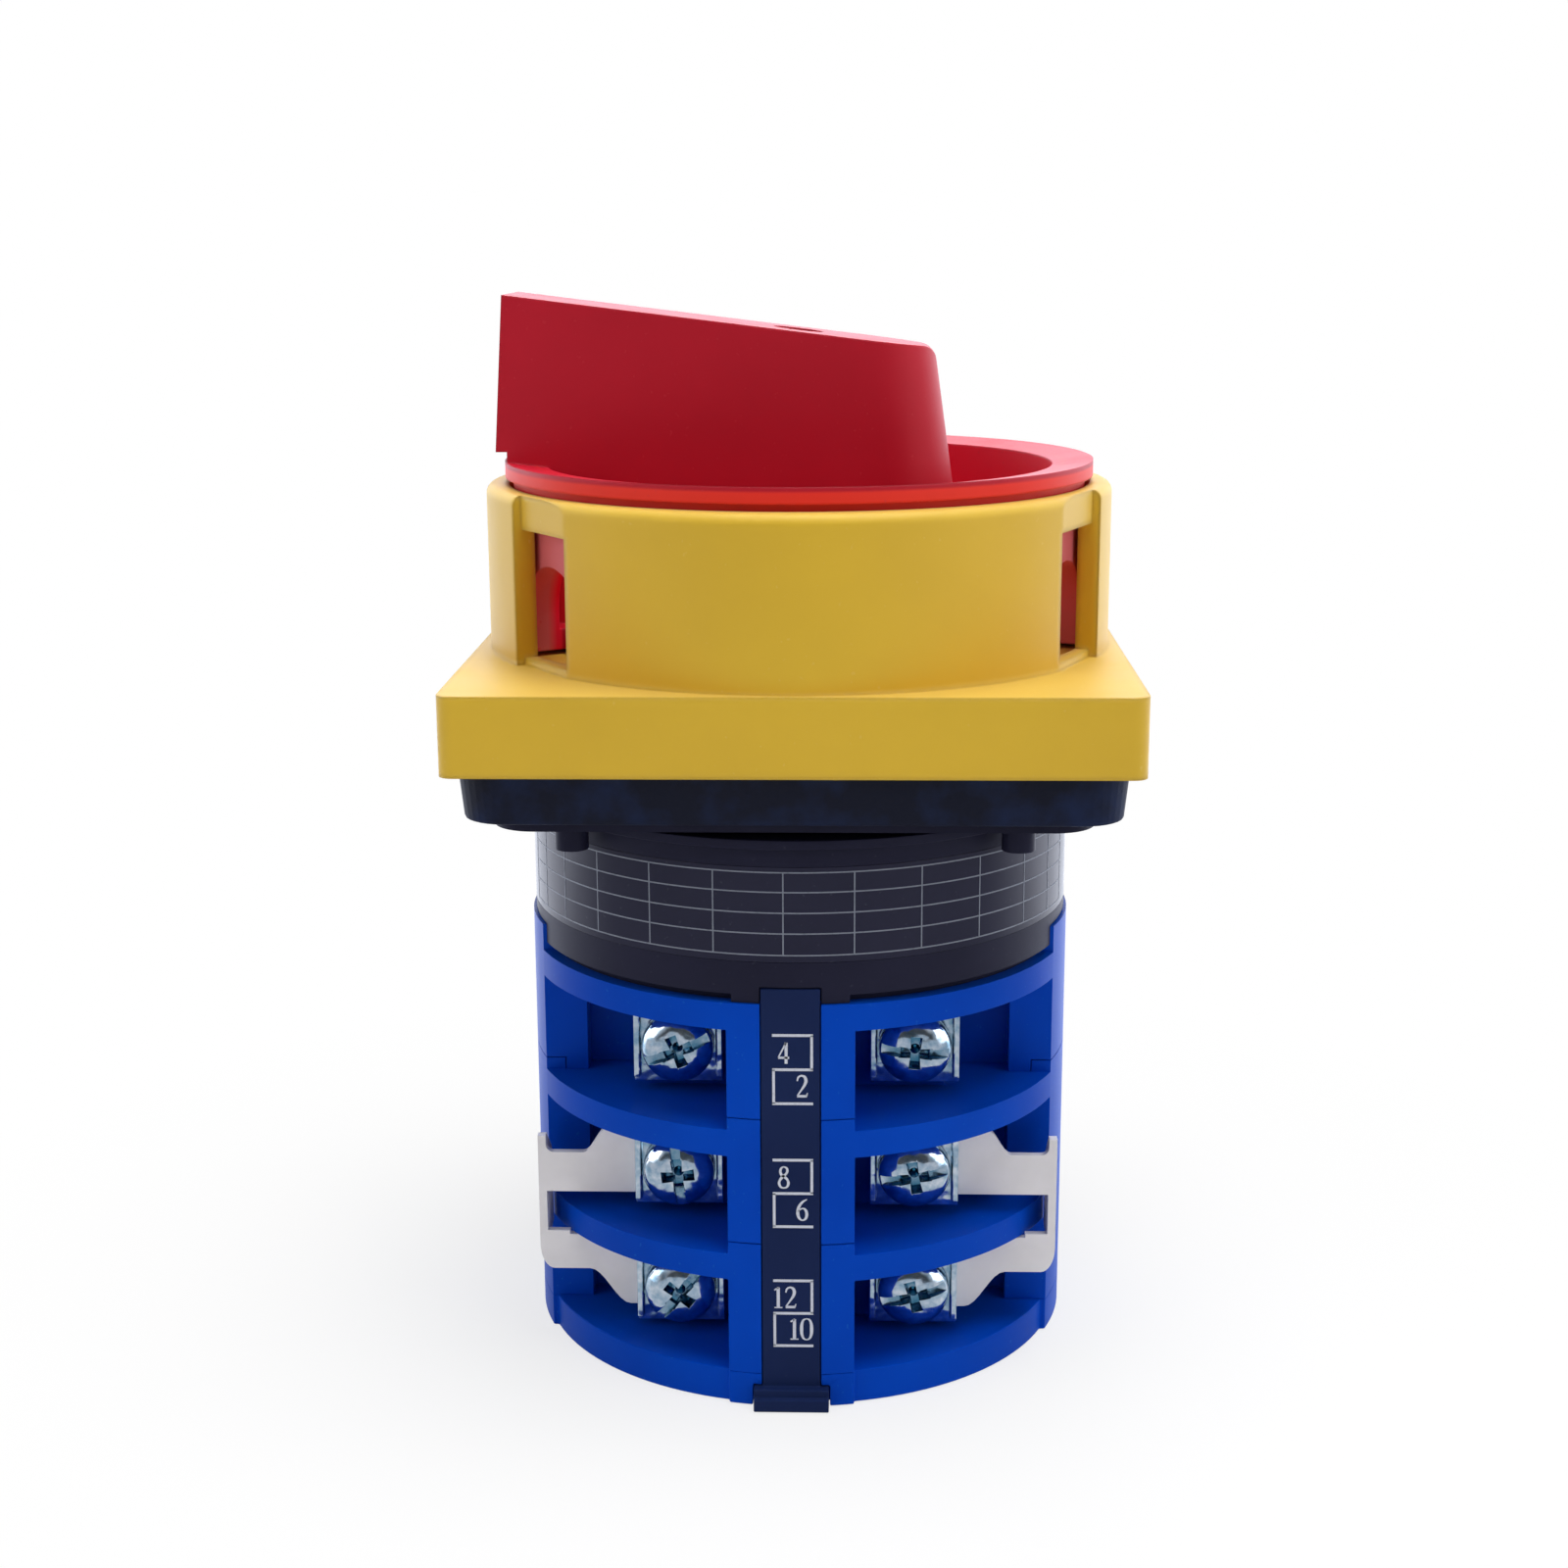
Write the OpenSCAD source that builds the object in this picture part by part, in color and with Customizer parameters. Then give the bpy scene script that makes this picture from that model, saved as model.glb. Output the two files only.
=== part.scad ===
// Rotary cam switch with a padlockable handle, three contact stages and twelve screw terminals.
// Millimetres. The switch axis is Z, the underside of the base cover is z = 0 and the front
// of the switch, where the front label strip is, faces -Y. The handle stands at its off position.

/* [Front plate] */
// Side of the square front plate
plate_w = 64; // [62:0.5:80]
// Height of the plate's skirt and top together
plate_t = 7.5; // [6.5:0.1:10]
// Thickness of the plate's top face
plate_top_t = 2.6; // [2:0.1:3.5]
// Thickness of the plate's skirt
skirt_t = 2.4; // [1.6:0.1:3]
// Radius of the plate's upright corners
plate_corner_r = 1.4; // [0.6:0.1:3]
// Outer radius of the padlock ring
ring_r = 31.2; // [30.8:0.1:31.6]
// Height of the padlock ring above the plate
ring_h = 16.2; // [14:0.1:20]
// Thickness of the ring's wall
ring_wall = 2.2; // [1.6:0.1:2.6]
// Rounding of the ring's top edge
ring_edge_r = 0.9; // [0.3:0.1:1.2]
// Angle covered by one padlock window, seen from the axis
window_angle = 16.1; // [12:0.1:20]
// Height of the padlock windows
window_h = 12.3; // [9:0.1:13]
// Height of the window sills above the plate
window_sill = 0.7; // [0.3:0.1:2]
// Depth of the flat bays round the windows
bay_depth = 0.85; // [0.3:0.05:1.2]

/* [Handle] */
// Gap between the drum and the inside of the ring
drum_side_gap = 0.5; // [0.3:0.1:1.2]
// Thickness of the drum's wall
drum_wall = 3.2; // [2.2:0.1:4]
// Running gap between the front plate and the drum's floor
drum_gap = 0.5; // [0.3:0.1:1]
// Thickness of the floor of the dish
dish_floor = 2; // [1.4:0.1:3]
// Distance of the rim's edge inside the ring's outer face
rim_inset = 1.9; // [1:0.1:2.4]
// Thickness of the rim at its outer edge
rim_t = 1.55; // [1:0.05:2.5]
// Gap between the ring and the underside of the rim
rim_gap = 0.65; // [0.3:0.05:1.5]
// Drop of the rim's top face from its outer to its inner edge
rim_fall = 0.5; // [0.1:0.1:1]
// Width of the padlock slots in the drum
lock_slot_w = 10.6; // [8:0.1:11]
// Height of the arched tops of the padlock slots above the front plate
lock_slot_h = 9.5; // [8:0.1:12]
// Thickness of the grip
grip_t = 12.4; // [9:0.1:15]
// Reach of the grip's tall end beyond the rim
grip_over = 0.3; // [0:0.1:1]
// Reach of the grip's low end from the axis, at the rim
grip_low_x = 15; // [11:0.1:20]
// Height of the grip's tall end above the front plate
grip_tall_z = 34.5; // [30:0.1:40]
// Height of the grip's low end above the front plate
grip_low_z = 29.3; // [26:0.1:34]
// Lean of the grip's low end
grip_lean = 8; // [2:0.5:12]
// Rounding of the grip's top corner at the low end
grip_corner_r = 1.6; // [0.6:0.1:3]
// Gap between the rim and the underside of the grip's overhang
overhang_gap = 1; // [0.5:0.1:2]
// Draft of the grip's tall end
tall_draft = 1; // [0:0.1:2]
// Radius of the handle's hub
hub_r = 8; // [7:0.1:10]
// Radius of the well for the handle screw
screw_well_r = 2.5; // [2.2:0.1:3]
// Thickness of the web under the handle screw's head
handle_web = 3; // [2:0.1:4]

/* [Seal and mounting plate] */
// Side of the panel seal
seal_w = 61.8; // [60:0.1:63]
// Thickness of the panel seal
seal_t = 4.7; // [3:0.1:6]
// Radius of the seal's corners
seal_corner_r = 4.5; // [2:0.1:6]
// Taper of the seal's edge
seal_taper = 0.5; // [0:0.1:1]
// Width of the seal's band, from its edge to its opening
seal_band = 5.9; // [5:0.1:7]
// Side of the mounting plate
mount_w = 56; // [54:0.1:58]
// Thickness of the mounting plate
mount_t = 1.2; // [1:0.1:2]
// Distance between the fixing screws, along either side of the square
screw_pitch = 42.4; // [42:0.1:43]
// Radius of the bosses that guide the fixing screws
boss_r = 1.6; // [1.5:0.05:2]
// Length of the bosses below the mounting plate
boss_h = 3.3; // [1:0.1:4]
// Radius of the holes for the fixing screws
fixing_hole_r = 1.05; // [0.9:0.05:1.1]
// Radius of the pilot holes in the front plate
pilot_r = 0.85; // [0.7:0.05:1]

/* [Detent head] */
// Inset of the detent head's side from the stages
head_inset = 0.3; // [0.1:0.1:0.8]
// Height of the detent head up to its cover
head_h = 15.2; // [14.8:0.1:20]
// Thickness of the head's wall
head_wall = 2.6; // [2:0.1:4]
// Thickness of the head's floor
head_floor = 2.4; // [2:0.1:3]
// Thickness of the printed sleeve
sleeve_t = 0.4; // [0.2:0.05:0.6]
// Height of the printed sleeve
sleeve_h = 9.2; // [6:0.1:9.6]
// Height of the sleeve's lower edge above the head's underside
sleeve_z = 4.1; // [3.6:0.1:5]
// Overhang of the head's cover
cover_lip = 1; // [0.3:0.1:1.6]
// Thickness of the head's cover
cover_t = 0.9; // [0.8:0.1:1.6]
// Gap between the head's cover and the mounting plate's flange
cover_gap = 0.7; // [0.4:0.1:1.5]
// Radius of the detent wheel at its tips
wheel_r = 13; // [11:0.1:14]
// Thickness of the detent wheel
wheel_t = 6; // [4:0.1:7]
// Depth of the notches of the detent wheel
notch_depth = 0.8; // [0.4:0.1:0.8]
// Radius of the detent rollers
roller_r = 2.5; // [2:0.1:3]
// Width of the detent slides
slide_w = 8; // [6.5:0.1:10]
// Length of the detent slides
slide_l = 4; // [3:0.1:4.5]
// Radius of the detent springs
detent_spring_r = 2.2; // [1.6:0.1:2.6]
// Angle between the off and the on position
turn_angle = 90; // [60:5:90]

/* [Contact stages] */
// Outer radius of the stages
stage_r = 27.7; // [27.2:0.1:28.2]
// Height of one stage
pitch = 12.7; // [12.5:0.1:15]
// Thickness of each stage's deck
deck_t = 2.7; // [2:0.1:2.9]
// Thickness of the base cover
base_t = 3; // [3:0.1:5]
// Rise of the base cover's floor into the bottom stage
base_rise = 0.4; // [0.2:0.1:0.6]
// Inset of the base cover's edge between the posts and the pillars
base_inset = 0.5; // [0:0.1:1]
// Half width of the front and rear posts
post_x = 6.1; // [5:0.1:6.4]
// Sideways offset of the posts and the label strips from the centre plane
post_shift = -0.3; // [-0.4:0.1:0.4]
// Half width of the side pillars
pillar_y = 10.4; // [10:0.1:11.5]
// Distance from the centre plane to the pillars' inner sides
pillar_x = 21.4; // [20.5:0.1:22]
// Thickness of the wall between a contact chamber and the recess in front of it
recess_wall = 0.9; // [0.7:0.1:1.4]
// Thickness of the pillars' outer wall
pillar_wall = 2; // [1.4:0.1:2.2]
// Height of the posts' seats above each deck
seat_h = 1.2; // [0.6:0.1:1.6]
// Height of the ears of the top stage's pillars above its deck
ear_h = 2.7; // [1.4:0.1:3.2]
// Radius of the chamber that holds the cam
cam_room_r = 10.7; // [10.5:0.1:11]
// Largest radius of the cams
cam_r = 10; // [9:0.1:10.2]
// Thickness of the cams' working face
cam_t = 7; // [5:0.1:8]
// Radius of the cams' hubs
cam_hub_r = 6.9; // [6:0.1:7.4]
// Travel of the contact plungers
plunger_travel = 2; // [1:0.1:2]
// Width of the contact plungers
plunger_w = 5.8; // [4:0.1:6.4]
// Height of the contact plungers
plunger_h = 4.4; // [3:0.1:5]
// Rounding of the nose of the contact plungers
nose_r = 1.2; // [0.8:0.1:1.6]

/* [Contacts and terminals] */
// Distance of the terminal screws from the front-to-rear centre plane
screw_x = 11.7; // [11.6:0.1:12]
// Height of the terminal screws above each floor
screw_z = 5; // [4.6:0.1:5.2]
// Distance of the terminal plates' faces from the side-to-side centre plane
terminal_y = 15.6; // [15.2:0.1:16.2]
// Thickness of the terminal plates and of the fixed contacts
contact_t = 1.2; // [0.8:0.1:1.4]
// Width of the terminal plates
terminal_w = 6.2; // [5.8:0.1:6.4]
// Height of the terminal plates
terminal_h = 8; // [7:0.1:8.6]
// Height of the fixed contacts' inner legs
leg_h = 4.2; // [3:0.1:5]
// Distance of the contact points from the side-to-side centre plane
pad_y = 4.7; // [4.6:0.1:5.6]
// Radius of the contact rivets
pad_r = 1.2; // [0.8:0.1:1.4]
// Height of the contact rivets
pad_h = 0.6; // [0.3:0.1:0.8]
// Thickness of the moving bridges
bridge_t = 1; // [0.6:0.1:1.2]
// Height of the moving bridges
bridge_h = 3.6; // [3:0.1:4.4]
// Radius of the terminal screws
screw_r = 1.95; // [1.6:0.05:2]
// Radius of the terminal screws' heads
screw_head_r = 3.6; // [3.4:0.05:3.8]
// Height of the terminal screws' heads
screw_head_h = 2.6; // [2:0.1:3]
// Width of the clamp washers
washer_w = 8.8; // [8.6:0.1:9]
// Height of the clamp washers
washer_h = 7.8; // [7.4:0.1:8.8]
// Thickness of the clamp washers
washer_t = 1; // [0.8:0.1:1.2]
// Thickness of the jumper links
link_t = 0.8; // [0.5:0.05:1]
// Height of the links' tongues above and below the upper screws
link_tongue_h = 6.3; // [5:0.1:7]
// Height of the links' arms where they leave the stages
link_arm_h = 4.2; // [3.6:0.1:5]
// Rise of the links' upper ends above their arms
link_horn_h = 1.7; // [0.8:0.1:2]
// Depth of the links' returned flanges
link_return = 4.7; // [3:0.1:5]

/* [Shaft and fasteners] */
// Side of the square shaft
shaft_w = 7; // [6:0.1:7.4]
// Radius of the shaft's lower journal
journal_r = 3.4; // [2.6:0.1:3.4]
// Distance of the tie screws from the axis
tie_y = 19.5; // [18.5:0.1:21]
// Radius of the tie screws
tie_r = 2; // [1.5:0.1:2.2]
// Radius of the tie screws' heads
tie_head_r = 3.6; // [3:0.1:3.8]
// Height of the tie screws' heads
tie_head_h = 1.8; // [1.4:0.1:2.2]
// Radius of the screws that hold the head to the mounting plate
head_screw_r = 1.25; // [1:0.05:1.5]
// Radius of those screws' heads
head_screw_head_r = 2.4; // [2:0.1:2.6]
// Length of those screws under their heads
head_screw_l = 9; // [6:0.5:9.5]
// Distance of those screws from the axis
head_screw_ring_r = 20.4; // [19.5:0.1:20.8]
// Radius of the handle screw
handle_screw_r = 1.5; // [1.2:0.05:1.8]
// Length of the handle screw under its head
handle_screw_l = 12; // [8:0.5:14]
// Height of the shaft's upper end above the front plate
shaft_rise = 12; // [10:0.5:14]

/* [Label strips] */
// Width of the label strips
strip_w = 5.6; // [4:0.1:6.4]
// Thickness of the label strips
strip_t = 1.2; // [0.8:0.1:1.6]
// Height of the strips' upper ends above the top stage
strip_top = 1.5; // [0.8:0.1:2]
// Width of the strips' feet
foot_w = 7.3; // [6.8:0.1:8.4]
// Height of the strips' feet
foot_h = 2.1; // [1.6:0.1:2.8]
// Reach of the strips' feet beyond the stages
foot_out = 1.2; // [0.6:0.1:2]

/* [Clearances] */
// Running clearance of round pieces in their bores
run_gap = 0.1; // [0.05:0.01:0.1]
// Clearance of sliding pieces and of pieces laid in grooves
slide_gap = 0.1; // [0.05:0.01:0.2]
// Clearance between a cam or a wheel and what rides on it
nose_gap = 0.15; // [0.1:0.01:0.25]
// Gap left between closed contacts
closed_gap = 0.05; // [0.03:0.01:0.1]
// Gap between a screw and the hole it is driven into
thread_gap = 0.05; // [0.03:0.01:0.1]

/* [Hidden] */
$fn = 96;
stages = 3;
eps = 0.01;

// Levels, from the base cover upwards
deck_top = base_t + stages * pitch;
head_z = deck_top;
cover_z = head_z + head_h;
mount_z = cover_z + cover_t + cover_gap;
seal_z = mount_z + mount_t;
plate_z = seal_z + seal_t;
plate_top = plate_z + plate_t;
ring_top = plate_top + ring_h;
rim_z = ring_top + rim_gap;
rim_top = rim_z + rim_t;
drum_z = plate_top + drum_gap;
floor_top = drum_z + dish_floor;

// Front plate. Angles are measured from the front, where -Y is 0 and +X is 90
front_wall_turn = 5.2;
front_wall_angle = 95.4;
bay_half = acos((ring_r - bay_depth) / ring_r);
lock_slot_turns = [-54.7, 65.3, 185.3];
rib_t = 1.8;
hub_wall = 2;

// Handle
drum_r = ring_r - ring_wall - drum_side_gap;
rim_r = ring_r - rim_inset;
grip_tall_x = rim_r + grip_over;
dish_r = drum_r - drum_wall;
hub_z = plate_z + 1.5;
shaft_top = plate_top + shaft_rise;
handle_screw_seat = shaft_top + handle_web;
handle_screw_end = handle_screw_seat - handle_screw_l;
handle_screw_head_r = screw_well_r - slide_gap;
handle_screw_head_h = 2.2;

// Outer radii of the detent head and its cover
head_r = stage_r - head_inset;
cover_r = head_r + cover_lip;

// Seal and mounting plate
seal_opening = seal_w - 2 * seal_band;
tower_r = fixing_hole_r + hub_wall;
seal_opening_r = 3;
core_wall = 2.5;
mount_corner_r = 4;
spacer_r = cover_r - 4;
shaft_hole_r = shaft_w * 0.75 + 0.6;

// Detent head
body_r = head_r - sleeve_t;
head_room_r = body_r - head_wall;
head_floor_top = head_z + head_floor;
wheel_z = head_floor_top + 1;
wheel_hub_r = cam_hub_r;
roller_y = wheel_r + nose_gap + roller_r;
slide_y = roller_y + roller_r * 0.6;
roller_h = wheel_t + 0.5;
wheel_room_r = wheel_r + 1.2;
lug_r = wheel_r - 1;
lug_h = 1.8;
lug_half = 10;
stop_half = 6;
stop_gap = 0.5;
underside_step = 0.8;
tab_half = 5.6;
tab_h = 2;
cover_step = 1.2;

// Clip on the shaft's lower journal
clip_z = 0.85;
clip_top = 1.45;
clip_r = journal_r + 1.8;
clip_in_r = journal_r - 0.45;

// Screws between the mounting plate and the head
head_screw_seat = seal_z - 1.3;
head_post_r = 3;

// Contact stages
chamber_x = 14.4;
chamber_end = stage_r - pillar_wall;
seat_in_r = stage_r - 1.8;
pad_edge_y = pad_y + pad_r + 0.2;
bridge_half = pad_edge_y;
chamber_y = bridge_half + 0.7;
recess_y = chamber_y + recess_wall;
support_y = terminal_y - contact_t;
plate_half = terminal_w / 2;
leg_x = screw_x + plate_half;
leg_end_y = pad_y - pad_r - 0.2;
support_x = leg_x - slide_gap;
pad_x = leg_x + contact_t + pad_h;
bridge_x = pad_x + closed_gap + plunger_travel + pad_h;
nose_x = cam_r + nose_gap;
peg_r = 0.9;
screw_pocket = 3.4;
contact_spring_r = 1.7;
contact_wire = 0.5;
bearing_r = cam_hub_r + run_gap;
strip_face_y = stage_r - 0.2;
groove_y = strip_face_y - strip_t;
base_edge_r = stage_r - base_inset;

function stage_z(n) = base_t + n * pitch;

// Jumper links join the front terminals of the two lower stages. The flange runs outside the decks,
// and the lower arm runs just below a deck.
link_lower = stage_z(0) + screw_z;
link_upper = stage_z(1) + screw_z;
link_face_y = terminal_y + link_t;
link_back_y = link_face_y - link_return;
link_x = sqrt(stage_r * stage_r - link_back_y * link_back_y) + slide_gap + link_t;
link_inner_x = link_x - link_t;
link_tongue_x = screw_x - washer_w / 2 + 0.4;
link_gap_z = link_upper - link_tongue_h / 2;
link_notch_z = link_gap_z + link_arm_h;
link_horn_z = link_notch_z + link_horn_h;
link_deck_z = stage_z(1) - deck_t - slide_gap;
link_foot_z = link_deck_z - link_arm_h + 0.5;
link_tail_z = link_foot_z + 2.6;

// Points on an arc of an ellipse between two angles
function arc_points(centre, rx, ry, first, last) =
    [for (i = [0:8])
        let (turn = first + (last - first) * i / 8)
        centre + [rx * cos(turn), ry * sin(turn)]];

// Points on a curve that leaves one point level and arrives level at the other
function eased_points(from, to) =
    [for (i = [0:8])
        let (share = i / 8)
        [from.x + (to.x - from.x) * share, from.y + (to.y - from.y) * (1 - cos(180 * share)) / 2]];

// Turns its children from the front to an angle measured from the front
module at_front_angle(a) {
    rotate([0, 0, a - 90])
        children();
}

// A square with round corners, centred
module round_square(w, r) {
    half = w / 2 - r;
    union() {
        square([w - 2 * r, w], center = true);
        square([w, w - 2 * r], center = true);
        for (sx = [1, -1])
            for (sy = [1, -1])
                translate([sx * half, sy * half])
                    circle(r = r);
    }
}

// A tube between two heights
module tube(r_out, r_in, z1, z2) {
    translate([0, 0, z1])
        difference() {
            cylinder(r = r_out, h = z2 - z1);
            translate([0, 0, -1])
                cylinder(r = r_in, h = z2 - z1 + 2);
        }
}

// A round rod between two heights
module rod(r, z1, z2) {
    translate([0, 0, z1])
        cylinder(r = r, h = z2 - z1);
}

// A box between two corners
module block(a, b) {
    translate(a)
        cube(b - a);
}

// A square bar round the axis between two heights
module square_bar(w, z1, z2) {
    block([-w / 2, -w / 2, z1], [w / 2, w / 2, z2]);
}

// Places its children at the four fixing screws
module at_corners() {
    for (sx = [1, -1])
        for (sy = [1, -1])
            translate([sx * screw_pitch / 2, sy * screw_pitch / 2, 0])
                children();
}

// Section of the padlock ring
module ring_profile() {
    union() {
        translate([ring_r - ring_wall, plate_top - eps])
            square([ring_wall, ring_h - ring_edge_r + eps]);
        translate([ring_r - ring_wall, ring_top - ring_edge_r - eps])
            square([ring_wall - ring_edge_r, ring_edge_r + eps]);
        translate([ring_r - ring_edge_r, ring_top - ring_edge_r])
            circle(r = ring_edge_r);
    }
}

// Room of one padlock window with its flat bay, from the edge next to the front wall to one side
module window_cut(edge, side) {
    bay_turn = edge + side * bay_half;
    bay_from = -side * ring_r * sin(bay_half);
    bay_to = side * ring_r * sin(window_angle - bay_half);
    low = min(bay_from, bay_to);
    high = max(bay_from, bay_to);
    at_front_angle(bay_turn) {
        block([ring_r - bay_depth, low, plate_top], [ring_r + 2, high, ring_top + 1]);
        block([ring_r - 2 * ring_wall, low, plate_top + window_sill],
              [ring_r + 2, high, plate_top + window_sill + window_h]);
    }
}

// The front plate with its padlock ring
module front_plate() {
    inner_w = plate_w - 2 * skirt_t;
    left_edge = front_wall_turn - front_wall_angle / 2;
    right_edge = front_wall_turn + front_wall_angle / 2;
    color("gold")
        difference() {
            union() {
                difference() {
                    translate([0, 0, plate_z])
                        linear_extrude(plate_t)
                            round_square(plate_w, plate_corner_r);
                    translate([0, 0, plate_z - 1])
                        linear_extrude(plate_t - plate_top_t + 1)
                            round_square(inner_w, plate_corner_r);
                }
                rotate_extrude()
                    ring_profile();
                // Bosses that take the fixing screws
                at_corners()
                    rod(pilot_r + hub_wall, plate_z, plate_top - 1);
                // Hub that carries the handle
                rod(hub_r + run_gap + hub_wall, plate_z + 0.5, plate_top);
                // Ribs from the hub to the skirt
                for (a = [0, 90])
                    rotate([0, 0, a])
                        block([-inner_w / 2 - 0.5, -rib_t / 2, plate_z + 1],
                              [inner_w / 2 + 0.5, rib_t / 2, plate_top - 1]);
            }
            rod(hub_r + run_gap, plate_z - 1, plate_top + 1);
            at_corners()
                rod(pilot_r, plate_z - 1, plate_top - plate_top_t);
            window_cut(left_edge, -1);
            window_cut(right_edge, 1);
            window_cut(front_wall_turn + 180 - window_angle / 2, 1);
        }
}

// Section of the handle's drum, dish and rim
module handle_shell_profile() {
    polygon([
        [0, drum_z], [drum_r, drum_z], [drum_r, rim_z], [rim_r, rim_z], [rim_r, rim_top],
        [dish_r, rim_top - rim_fall], [dish_r, floor_top], [0, floor_top]
    ]);
}

// The grip seen from the front: x to the right, z upwards
module grip_side_profile() {
    tall_z = plate_top + grip_tall_z;
    low_z = plate_top + grip_low_z;
    low_x = grip_low_x - (low_z - rim_top) * tan(grip_lean);
    foot_x = grip_low_x + (rim_top - drum_z) * tan(grip_lean);
    heel_x = rim_r - 0.8;
    slope = atan((tall_z - low_z) / (low_x + grip_tall_x - tall_draft));
    // The rounding touches the sloping top and the leaning end
    first = 90 - slope;
    last = grip_lean;
    reach = grip_corner_r * tan((first - last) / 2);
    centre = [low_x - reach * cos(slope) - grip_corner_r * sin(slope),
              low_z + reach * sin(slope) - grip_corner_r * cos(slope)];
    corner = arc_points(centre, grip_corner_r, grip_corner_r, first, last);
    polygon(concat(
        [[foot_x, drum_z + 0.5], [-dish_r - 1, drum_z + 0.5], [-dish_r - 1, rim_top - rim_fall],
         [-heel_x, rim_top - 0.2], [-heel_x, rim_top + overhang_gap],
         [-grip_tall_x, rim_top + overhang_gap], [-grip_tall_x + tall_draft, tall_z]],
        corner
    ));
}

// Flat sides and a round low end, which leans with the grip
module grip_body() {
    translate([grip_low_x - grip_t / 2, 0, rim_top])
        rotate([0, -grip_lean, 0])
            union() {
                rod(grip_t / 2, floor_top - rim_top - 4, grip_tall_z);
                block([-2 * rim_r, -grip_t / 2, -2 * rim_r], [0, grip_t / 2, 2 * rim_r]);
            }
}

module grip() {
    intersection() {
        rotate([90, 0, 0])
            translate([0, 0, -grip_t])
                linear_extrude(2 * grip_t)
                    grip_side_profile();
        grip_body();
    }
}

// The handle: a drum with a dish, a rim, three padlock slots and a sloping grip
module handle() {
    slot_arch = lock_slot_w / 2;
    color("crimson")
        difference() {
            union() {
                rotate_extrude()
                    handle_shell_profile();
                grip();
                rod(hub_r, hub_z, drum_z + 1);
            }
            for (a = lock_slot_turns)
                at_front_angle(a) {
                    block([dish_r - 1.5, -slot_arch, drum_z - 1],
                          [drum_r + 1, slot_arch, plate_top + lock_slot_h - slot_arch]);
                    translate([dish_r - 1.5, 0, plate_top + lock_slot_h - slot_arch])
                        rotate([0, 90, 0])
                            cylinder(r = slot_arch, h = drum_wall + 2.5);
                }
            square_bar(shaft_w + 2 * slide_gap, hub_z - 1, shaft_top + slide_gap);
            rod(handle_screw_r + run_gap, shaft_top - 1, handle_screw_seat + 1);
            rod(screw_well_r, handle_screw_seat, plate_top + grip_tall_z + 1);
        }
}

// A driver's cross with one long arm, cut down from z = 0
module cross_recess(size, depth) {
    half = 0.55;
    block([-size, -half, -depth], [size, half, 1]);
    block([-half, -size * 0.62, -depth], [half, size * 0.62, 1]);
}

// A low dome on a short side, from z = 0 up
module pan_head(r, h) {
    side = h * 0.45;
    union() {
        cylinder(r = r, h = side);
        translate([0, 0, side - eps])
            cylinder(r1 = r, r2 = r * 0.72, h = h - side + eps);
    }
}

module handle_screw() {
    color("silver")
        difference() {
            union() {
                rod(handle_screw_r, handle_screw_end, handle_screw_seat + eps);
                translate([0, 0, handle_screw_seat])
                    pan_head(handle_screw_head_r, handle_screw_head_h);
            }
            translate([0, 0, handle_screw_seat + handle_screw_head_h])
                cross_recess(handle_screw_head_r * 0.6, 1.2);
        }
}

module panel_seal() {
    half = seal_w / 2 - seal_corner_r;
    foot_r = seal_corner_r - seal_taper;
    color("black")
        difference() {
            hull()
                for (sx = [1, -1])
                    for (sy = [1, -1])
                        translate([sx * half, sy * half, seal_z])
                            cylinder(h = seal_t, r1 = foot_r, r2 = seal_corner_r, $fn = 32);
            translate([0, 0, seal_z - 1])
                linear_extrude(seal_t + 2)
                    round_square(seal_opening, seal_opening_r);
            // Room for the towers of the mounting plate
            at_corners()
                rod(tower_r + slide_gap, seal_z - 1, plate_z + 1);
        }
}

module mounting_plate() {
    core_w = seal_opening - 2 * slide_gap;
    color("dimgray")
        difference() {
            union() {
                translate([0, 0, mount_z])
                    linear_extrude(mount_t)
                        round_square(mount_w, mount_corner_r);
                // Core that locates the seal
                translate([0, 0, seal_z - eps])
                    linear_extrude(seal_t - 0.2)
                        difference() {
                            round_square(core_w, seal_opening_r);
                            round_square(core_w - 2 * core_wall, seal_opening_r - 1);
                        }
                // Spacer that stands on the head's cover
                rod(spacer_r, mount_z - cover_gap, mount_z + eps);
                at_corners() {
                    rod(boss_r, mount_z - boss_h, mount_z + eps);
                    rod(tower_r, mount_z, plate_z - 0.2);
                }
            }
            rod(shaft_hole_r, mount_z - cover_gap - 1, plate_z);
            at_corners()
                rod(fixing_hole_r, mount_z - boss_h - 1, plate_z + 1);
            at_head_screws() {
                rod(head_screw_r + run_gap, mount_z - cover_gap - 1, seal_z + 1);
                rod(head_screw_head_r + run_gap, head_screw_seat, seal_z + 1);
            }
        }
}

// Places its children at the screws that join the mounting plate, the cover and the head
module at_head_screws() {
    for (a = [30, 150, 210, 330])
        rotate([0, 0, a])
            translate([head_screw_ring_r, 0, 0])
                children();
}

module head_screws() {
    color("silver")
        at_head_screws()
            difference() {
                union() {
                    rod(head_screw_head_r, head_screw_seat, seal_z - 0.1);
                    rod(head_screw_r, head_screw_seat - head_screw_l, head_screw_seat + eps);
                }
                translate([0, 0, seal_z - 0.1])
                    cross_recess(head_screw_head_r * 0.6, 0.7);
            }
}

// A rib under the cover that stops the wheel's lug
module stop_rib(a) {
    rotate([0, 0, a])
        intersection() {
            tube(wheel_r + 3, lug_r - 3.5, wheel_z + wheel_t + 0.4, cover_z + eps);
            linear_extrude(cover_z + 1)
                polygon([[0, 0], 2 * wheel_r * [cos(stop_half), -sin(stop_half)],
                         2 * wheel_r * [cos(stop_half), sin(stop_half)]]);
        }
}

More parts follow.
